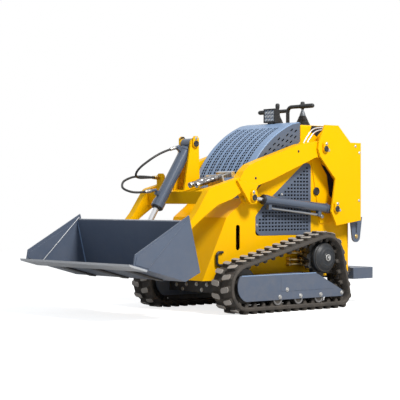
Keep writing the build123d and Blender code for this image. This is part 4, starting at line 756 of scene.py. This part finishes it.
both_sides("arm_bolts", set_out(hex_bolt(0.0055), arm_spots, left), black_paint, "loader_arms")
beam_front = 0.175
beam_spots = [(beam_front, y, z) for y, z in (
    (-0.25, 0.152), (-0.15, 0.158), (-0.05, 0.163), (0.05, 0.163), (0.15, 0.158), (0.25, 0.152),
    (-0.19, 0.126), (0, 0.128), (0.19, 0.126),
)]
piece("beam_bolts", set_out(hex_bolt(0.009), beam_spots, forward), zinc)


# Hub covers and motor fittings

hub_profile = [
    (0, 0.046), (0.027, 0.045), (0.031, 0.0415), (0.048, 0.039), (0.052, 0.041), (0.056, 0.0385),
    (0.064, 0.0345), (0.07, 0.0325), (0.073, 0.0285), (0.082, 0.024), (0.09, 0.015), (0.0945, 0.012),
    (0.097, 0.0085), (0.097, -0.01), (0, -0.01),
]
hub_middle = [(-0.484, 0.432, 0.33)]
hub_dome = set_out(lathe(hub_profile, 64), hub_middle, left)
both_sides("hub_cover", hub_dome, hub_slate, smooth=30)
hub_ring = lathe([
    (0.022, 0.04), (0.022, 0.0475), (0.02, 0.049), (0.016, 0.049), (0.0145, 0.0475), (0.0145, 0.04),
], 40)
hub_nut = lathe([(0, 0.04), (0.012, 0.04), (0.012, 0.055), (0.0098, 0.058), (0, 0.058)], 6)
hub_nut = set_out(joined(hub_ring, hub_nut), hub_middle, left, turn=0.3)
both_sides("hub_nut", hub_nut, zinc)


def nutted_pipe(path, radius, nut, sides=14):
    """A pipe along a path with a wide six-sided nut over each end."""
    path = np.asarray(path, float)
    head = lathe([(0, 0), (nut, 0), (nut, 1.5 * nut), (0.8 * nut, 1.7 * nut), (0, 1.7 * nut)], 6)
    first, last = set_out(head, path[0], path[1] - path[0]), set_out(head, path[-1], path[-2] - path[-1])
    return joined(tube(path, radius, sides), first, last)


def bow(start, pull, end, steps=16):
    """A smooth bend: start, pull and end, weighed by the squares of the two shares and their mixed term."""
    share = np.linspace(0, 1, steps)[:, None]
    start, pull, end = (np.asarray(point, float) for point in (start, pull, end))
    return (1 - share) ** 2 * start + 2 * share * (1 - share) * pull + share ** 2 * end


motor_lines = [
    nutted_pipe(bow((-0.425, 0.312, z), (-0.338, 0.312, z), (-0.332, 0.258, z + rise)), radius=0.008, nut=0.015)
    for z, rise in ((0.357, 0.006), (0.317, 0.0), (0.288, -0.004))
]
both_sides("motor_fittings", joined(*motor_lines), brass)


# Cylinders and hoses

lift_foot = np.array([-0.69, 0.3, 0.641])
lift_way = unit(np.array([0.737, 0.0, 0.074]))
lift_down = np.array([lift_way[2], 0.0, -lift_way[0]])
gland_profile = [
    (0, -0.004), (0.03, -0.004), (0.0312, 0), (0.0312, 0.02), (0.0285, 0.0225), (0.0285, 0.0265),
    (0.0255, 0.029), (0, 0.029),
]
lift_gland_at, lift_weld_at = 0.598, 0.046
gland = set_out(lathe(gland_profile, 40), [lift_foot + lift_gland_at * lift_way], lift_way)
both_sides("lift_gland", gland, black_paint, "lift_barrels")


def weld_ring(middle, axis, radius, bead, stations=144, corners=8, ripples=48):
    """A ring of weld: a round bead carried round a circle, its size rising and falling in small steps."""
    turn = np.linspace(0, 2 * np.pi, stations, endpoint=False)
    wave = bead * (1 + 0.18 * np.sin(ripples * turn))
    around = np.linspace(0, 2 * np.pi, corners, endpoint=False)
    reach = radius + wave[:, None] * np.cos(around)
    points = np.stack([
        reach * np.cos(turn)[:, None], reach * np.sin(turn)[:, None], wave[:, None] * np.sin(around),
    ], axis=-1)
    return along_axis(points.reshape(-1, 3), middle, axis), grid_quads(stations, corners, True, True)


lift_bead = weld_ring(lift_foot + lift_weld_at * lift_way, lift_way, radius=0.029, bead=0.0035)
both_sides("lift_weld", lift_bead, slate_paint, "lift_barrels")
pipe_start, pipe_turn, pipe_run, pipe_end, pipe_tail = (
    lift_foot + along * lift_way + down * lift_down
    for along, down in ((0.555, 0.022), (0.556, 0.05), (0.52, 0.05), (0.105, 0.05), (0.07, 0.06)))
pipe_path = np.concatenate([
    bow(pipe_start, pipe_turn, pipe_run, 9), np.linspace(pipe_run, pipe_end, 5)[1:-1],
    bow(pipe_end, 0.6 * pipe_end + 0.4 * pipe_tail, pipe_tail, 5),
])
both_sides("lift_pipe", nutted_pipe(pipe_path, radius=0.0078, nut=0.0125), pipe_grey, "lift_barrels")
tilt_head = np.array([0.283, 0.0, 1.053])
tilt_way = unit(np.array([0.36, 0.0, -0.553]))
tilt_gland_at, tilt_weld_at, tilt_gland_scale = 0.448, 0.052, 1.24
tilt_gland = lathe(tilt_gland_scale * np.array(gland_profile), 48)
tilt_gland = set_out(tilt_gland, [tilt_head + tilt_gland_at * tilt_way], tilt_way)
piece("tilt_gland", tilt_gland, black_paint, "tilt_barrel")
tilt_bead = weld_ring(tilt_head + tilt_weld_at * tilt_way, tilt_way, radius=0.036, bead=0.004)
piece("tilt_weld", tilt_bead, slate_paint, "tilt_barrel")
ferrule_profile = [
    (0, 0), (0.0095, 0), (0.0108, 0.002), (0.0108, 0.009), (0.0094, 0.0105), (0.0108, 0.012),
    (0.0108, 0.019), (0.0094, 0.0205), (0.0108, 0.022), (0.0108, 0.03), (0.0096, 0.032), (0, 0.032),
]
ferrule_nut = lathe([(0, 0.03), (0.0125, 0.03), (0.0125, 0.044), (0.0108, 0.046), (0, 0.046)], 6)


def crimped_end(end, beside):
    """The ferrule on a hose: three crimped bands and a nut, turned on the line that the hose leaves by."""
    end, beside = np.asarray(end), np.asarray(beside)
    return set_out(joined(lathe(ferrule_profile, 24), ferrule_nut), [end], end - beside)


barrel_ends = joined(*[crimped_end(route[0], route[1]) for route in (upper_route, lower_route)])
piece("hose_ends_barrel", barrel_ends, zinc, "tilt_barrel")
bulkhead_gap = 0.003
bulkhead_face = 0.372
bulkhead_half = 0.005
bulkhead_corners = [
    (-0.206, 0.735), (-0.134, 0.735), (-0.134, 0.852), (-0.15, 0.868), (-0.19, 0.868), (-0.206, 0.852),
]
flat, faces = plain_plate(rounded_outline(bulkhead_corners, 0.01))
front = np.full(len(flat), bulkhead_face + bulkhead_half)
bulkhead = np.stack([front, flat[:, 0], flat[:, 1]], axis=1), faces
bulkhead = sheet("bulkhead_plate", bulkhead, forward, yellow_paint, 2 * bulkhead_half, "loader_arms")
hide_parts("hose_bulkhead")
far_ends = []
for route in (upper_route, lower_route):
    leaving = unit(route[-1] - route[-2])
    mouth = route[-1] + bulkhead_gap * leaving
    stem = np.linspace(mouth, mouth + leaving * (bulkhead_face - mouth[0]) / leaving[0], 4)
    far_ends += [crimped_end(mouth, mouth - leaving * 0.001), tube(stem, 0.0085, 20)]
piece("hose_ends_bulkhead", joined(*far_ends), brass, "loader_arms")


# Couplings on the left arm

coupling_dip = np.radians(15.8)
coupling_way = np.array([np.cos(coupling_dip), 0.0, -np.sin(coupling_dip)])
coupling_spots = [(0.232, 0.205, 0.836), (0.232, 0.143, 0.836)]
coupling_profile = [
    (0, 0.02), (0.0168, 0.02), (0.0185, 0.022), (0.0185, 0.04), (0.0168, 0.042), (0.0163, 0.05),
    (0.0163, 0.07), (0.0192, 0.072), (0.0192, 0.079), (0.018, 0.0805), (0.0192, 0.082), (0.0192, 0.089),
    (0.018, 0.0905), (0.0192, 0.092), (0.0192, 0.1), (0.0166, 0.102), (0.0163, 0.128), (0.0178, 0.13),
    (0.0178, 0.158), (0.0166, 0.1605), (0, 0.1605),
]
mouth_profile = [
    (0, 0.156), (0.0185, 0.156), (0.019, 0.158), (0.019, 0.17), (0.0175, 0.173), (0.0125, 0.173),
    (0.0115, 0.171), (0.0115, 0.162), (0, 0.162),
]
plug_profile = [(0, 0.16), (0.0112, 0.16), (0.0112, 0.164), (0.006, 0.166), (0, 0.167)]
for name, profile, steps, material in (
    ("coupling_sleeves", coupling_profile, 32, coupling_steel),
    ("coupling_mouths", mouth_profile, 32, zinc),
    ("coupling_plugs", plug_profile, 24, black_plastic),
):
    piece(name, set_out(lathe(profile, steps), coupling_spots, coupling_way), material, "loader_arms")


# Console: work lamp, grab bar, sticks and pipes

lens_cells = 3
lens_depth = 0.0085
lens_half = np.array([0.044, 0.036])
lens_middle = np.array([-0.4268, 0.0, 1.2585])


def lamp_lens(steps=10):
    """Nine reflectors in one sheet: in each cell the depth is the squared distance from the cell's middle."""
    share = np.linspace(0, 1, lens_cells * steps + 1)
    cell = np.abs(2 * np.mod(share * lens_cells, 1.0) - 1)
    cell[::steps] = 1.0
    across, over = np.meshgrid(share * 2 - 1, share * 2 - 1, indexing="ij")
    bowl = np.clip(cell[:, None] ** 2 + cell[None, :] ** 2, 0.06, 1.0)
    points = np.stack([lens_depth * bowl, lens_half[0] * across, lens_half[1] * over], axis=-1) + lens_middle
    return points.reshape(-1, 3), grid_quads(len(share), len(share))


lens = facing(lamp_lens(), forward)
piece("lamp_lens", lens, lens_silver, closed=False, smooth=50)
cell_middles = (np.arange(lens_cells) * 2 + 1) / lens_cells - 1
bulb_spots = np.pad(pairs(cell_middles, cell_middles) * lens_half, ((0, 0), (1, 0))) + lens_middle
bulb = lathe([
    (0, 0), (0.0064, 0), (0.0062, 0.003), (0.0048, 0.0055), (0.0026, 0.0068), (0, 0.0072),
], 16)
piece("lamp_bulbs", set_out(bulb, bulb_spots, forward), bulb_white)

console_top = 1.19
bar_x, bar_post, bar_bend, bar_end = -0.57, 0.02, 0.06, 0.261
bar_high, bar_low = 1.32, 1.296
bar_root = (bar_x, bar_post, console_top)
bar_knee = (bar_x, bar_post, bar_high - 0.04)
left_bar = np.concatenate([
    np.linspace(bar_root, bar_knee, 6)[:-1],
    bow(bar_knee, (bar_x, bar_post, bar_high), (bar_x, bar_bend, bar_high), 10)[:-1],
    np.linspace((bar_x, bar_bend, bar_high), (bar_x, bar_end, bar_high), 60),
])
right_bar = np.concatenate([
    np.linspace((bar_x, bar_post, bar_low), (bar_x, -bar_bend, bar_low), 8)[:-1],
    np.linspace((bar_x, -bar_bend, bar_low), (bar_x, -bar_end, bar_low), 60),
])
bar_radius, grip_swell, tip_taper = 0.0125, 0.0022, 0.006
grip_start, grip_ramp, tip_start, tip_length = 0.135, 0.004, 0.25, 0.011
rib_height, rib_pitch = 0.0006, 0.0085


def grab_bar(path):
    """A tube whose radius swells to a ribbed grip over the outer part of its length."""
    reach = np.abs(path[:, 1])
    grip = np.clip((reach - grip_start) / grip_ramp, 0, 1)
    ribs = rib_height * np.sin(2 * np.pi * reach / rib_pitch)
    tip = np.clip((reach - tip_start) / tip_length, 0, 1)
    return tube(path, bar_radius + grip * (grip_swell + ribs) - tip_taper * tip ** 2, 20)


bars = joined(grab_bar(left_bar), grab_bar(right_bar))
bars = piece("grab_bar", bars, black_plastic)
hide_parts("handlebar")
bar_foot = lathe([
    (0, 0), (0.034, 0), (0.034, 0.006), (0.031, 0.009), (0.018, 0.011), (0.0145, 0.02), (0, 0.02),
], 32)
piece("bar_foot", set_out(bar_foot, [bar_root], up), black_paint)

boot_foot, boot_taper, boot_rib, boot_rib_count = 0.049, 0.026, 0.0026, 6
boot_share = np.linspace(0, 1, 29)
boot_ribs = boot_rib * np.cos(2 * np.pi * boot_rib_count * boot_share) * (1 - 0.5 * boot_share)
boot_radius = boot_foot - boot_taper * boot_share + boot_ribs
boot_profile = np.concatenate([
    [(0.0, 0.0), (0.0515, 0.0), (0.052, 0.002), (0.052, 0.007), (0.0505, 0.009)],
    np.stack([boot_radius, 0.01 + 0.058 * boot_share], axis=1), [(0.02, 0.07), (0.0, 0.07)],
])
stick_spots = [(-0.61, 0.12, console_top), (-0.61, -0.12, console_top)]
boots = set_out(lathe(boot_profile, 36), stick_spots, up)
boots = piece("stick_boots", boots, boot_rubber)
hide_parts("joysticks")
cone = lathe([
    (0, 0.06), (0.0215, 0.068), (0.02, 0.076), (0.0115, 0.1), (0.0085, 0.106), (0.008, 0.12),
    (0, 0.12),
], 28)
piece("stick_cones", set_out(cone, stick_spots, up), stick_grey)
knob = lathe([
    (0, 0.112), (0.0085, 0.112), (0.01, 0.116), (0.0118, 0.124), (0.0142, 0.136), (0.015, 0.146),
    (0.0146, 0.155), (0.012, 0.162), (0.007, 0.1648), (0, 0.165),
], 28)
piece("stick_knobs", set_out(knob, stick_spots, up), black_plastic)

console_bends = np.array([
    [(-0.462, 0.2615, 1.046), (-0.492, 0.2615, 1.1), (-0.54, 0.2615, 1.146), (-0.7, 0.259, 1.172)],
    [(-0.49, 0.2615, 1.044), (-0.52, 0.2615, 1.094), (-0.566, 0.2615, 1.134), (-0.715, 0.259, 1.16)],
])
console_pipes = []
for foot, knee, crest, tail in console_bends:
    rise = bow(foot, knee, crest, 18)[:-1]
    run = bow(crest, crest + (crest - knee) * 0.9, tail, 14)
    console_pipes.append(tube(np.concatenate([rise, run]), 0.0052, 12))
both_sides("console_pipes", joined(*console_pipes), pipe_white)


# Tie-downs, track covers, bucket plates, small trim, and black sheets and light strips of painted shade and
# highlight

tie_turn = np.linspace(-np.pi / 2, np.pi / 2, 41)
tie_power = 2 / 5
tie_x, tie_y, tie_z = 0.224, 0.2555, 0.335
tie_reach, tie_half = 0.0485, 0.0405
tie_path = np.stack([
    tie_x + tie_reach * np.abs(np.cos(tie_turn)) ** tie_power, np.full(len(tie_turn), tie_y),
    tie_z + tie_half * np.sign(np.sin(tie_turn)) * np.abs(np.sin(tie_turn)) ** tie_power,
], axis=1)
tie_rod = tube(tie_path, 0.0085, 16)
tie_downs = piece("tie_rods", joined(tie_rod, mirrored(tie_rod)), black_paint)
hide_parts("tie_downs")

plate_corner = 0.004


def thin_plate(name, corners, material, body="chassis", *, y, thickness, looks=1):
    """A thin plate with rounded corners on the left and on the right, that looks out (1) or inwards (-1)."""
    for side, sign in sides:
        flat = upright(plain_plate(rounded_outline(corners, plate_corner)), sign * y)
        sheet(name + "_" + side, flat, [0, looks * sign, 0], material, thickness, body)


roller_rim = lathe([
    (0.026, -0.002), (0.0385, -0.002), (0.0385, 0.0005), (0.037, 0.002), (0.03, 0.002), (0.028, 0.0005),
    (0.026, 0.0005),
], 40)
roller_spots = side_spots([(-0.059, 0.081), (-0.241, 0.081), (-0.423, 0.081)], 0.452)
both_sides("roller_rims", set_out(roller_rim, roller_spots, left), roller_steel)
# A black strip along the inner side under the track frame: painted shade of the dark gap between the rollers.
gap_shade_corners = [(0.18, 0.046), (0.18, 0.082), (-0.59, 0.082), (-0.59, 0.046)]
thin_plate("roller_gap_shade", gap_shade_corners, black_paint, y=0.3325, thickness=0.002)
# A thin tube in the lighter slate along the frame's top edge: a painted highlight.
frame_edge_highlight = tube(np.linspace((0.25, 0.4565, 0.2345), (-0.39, 0.4565, 0.2345), 4), 0.0042, 10)
both_sides("frame_edge_highlight", frame_edge_highlight, lit_slate_paint)
# A weld bead down the bucket's corner in the lighter slate: the bead is real, its lighter colour is a painted
# highlight along the edge.
corner_weld_highlight = tube(np.linspace((0.764, 0.5295, 0.57), (0.693, 0.5295, 0.279), 6), 0.004, 8)
both_sides("bucket_weld_highlight", corner_weld_highlight, lit_slate_paint, "bucket_assembly")
cover_corners = [(-0.079, 0.229), (-0.079, 0.129), (-0.56, 0.129), (-0.398, 0.229)]
thin_plate("frame_cover", cover_corners, slate_paint, y=0.4612, thickness=0.002)
cheek_corners = [(0.757, 0.587), (1.126, 0.38), (1.138, 0.336), (1.046, 0.311)]
thin_plate("bucket_cheek", cheek_corners, slate_paint, "bucket_assembly", y=0.5425, thickness=0.0035)
inner_corners = [(0.772, 0.566), (1.124, 0.378), (1.136, 0.34), (1.05, 0.316)]
thin_plate("bucket_wear", inner_corners, slate_paint, "bucket_assembly", y=0.5285, thickness=0.0045, looks=-1)
for place, y, material in (("outer", 0.5415, slate_paint), ("inner", 0.5275, edge_steel)):
    strip = tube(np.linspace((0.752, y, 0.59), (1.043, y, 0.31), 6), 0.003, 8)
    both_sides("cheek_strip_" + place, strip, material, "bucket_assembly")
rim_strip = tube(np.linspace((0.7535, -0.531, 0.5775), (0.7535, 0.531, 0.5775), 4), 0.004, 8)
piece("bucket_rim", rim_strip, edge_steel, "bucket_assembly")
bucket_pivot = np.array([0.63, 0.0, 0.345])
bucket_curl = np.radians(15)
floor_way = np.array([np.cos(bucket_curl), 0.0, np.sin(bucket_curl)])
floor_up = np.array([-np.sin(bucket_curl), 0.0, np.cos(bucket_curl)])
strip_row = bucket_pivot + 0.2595 * floor_way - 0.15 * floor_up
strip_length, strip_width, strip_depth, strip_pitch = 0.279, 0.0612, 0.0086, 0.33
strip_middles = strip_row + strip_pitch * np.array([-1.0, 0.0, 1.0])[:, None] * left
strip_axes = np.broadcast_to(np.stack([floor_way, left, -floor_up]), (3, 3, 3))
wear_strip = block([(0.0, strip_length, strip_width), (strip_depth, strip_length, strip_width)], 0.002)
wear_strips = copies(wear_strip, np.concatenate([strip_middles[:, None], strip_axes], axis=1))
# The wear strips under the bucket are in black: painted shade under the bucket floor.
piece("wear_strips", wear_strips, black_paint, "bucket_assembly", smooth=0)
prop_bolt = set_out(hex_bolt(0.01), [(-0.928, 0.31, 0.455)], left)
piece("prop_bolt", prop_bolt, brass)
# A black sheet in the prop's slot: painted shade of the hole.
slot_corners = [(-0.932, 0.478), (-0.924, 0.478), (-0.924, 0.545), (-0.932, 0.545)]
prop_slot_shade = upright(plain_plate(rounded_outline(slot_corners, 0.0035)), 0.3104)
sheet("prop_slot_shade", prop_slot_shade, left, painted_shade_black, 0.002)
# A black sheet inside the tower: painted shade of its dark inside, where the outer plate shades the inner one.
tower_corners = np.array([
    (-0.638, 0.936), (-0.677, 0.92), (-0.781, 0.805), (-0.781, 0.777), (-0.752, 0.7), (-0.717, 0.73),
    (-0.693, 0.865),
])
tower_back = 0.2638
for side, sign in sides:
    shade = upright(plain_plate(tower_corners), sign * tower_back)
    sheet("tower_lining_" + side, shade, [0, sign, 0], painted_shade_black, 0.0015)
shade_corners = [(-0.556, 1.186), (-0.687, 1.186), (-0.64, 1.15), (-0.606, 1.118), (-0.54, 1.15)]
thin_plate("console_shade", shade_corners, painted_shade_black, y=0.2585, thickness=0.002)
grommet = lathe([
    (0, 0), (0.027, 0), (0.027, 0.003), (0.024, 0.0055), (0.019, 0.0055), (0.016, 0.002), (0, 0.001),
], 36)
grommet = set_out(grommet, [(-0.596, 0.2622, 0.757)], left)
piece("cable_grommet", grommet, boot_rubber)
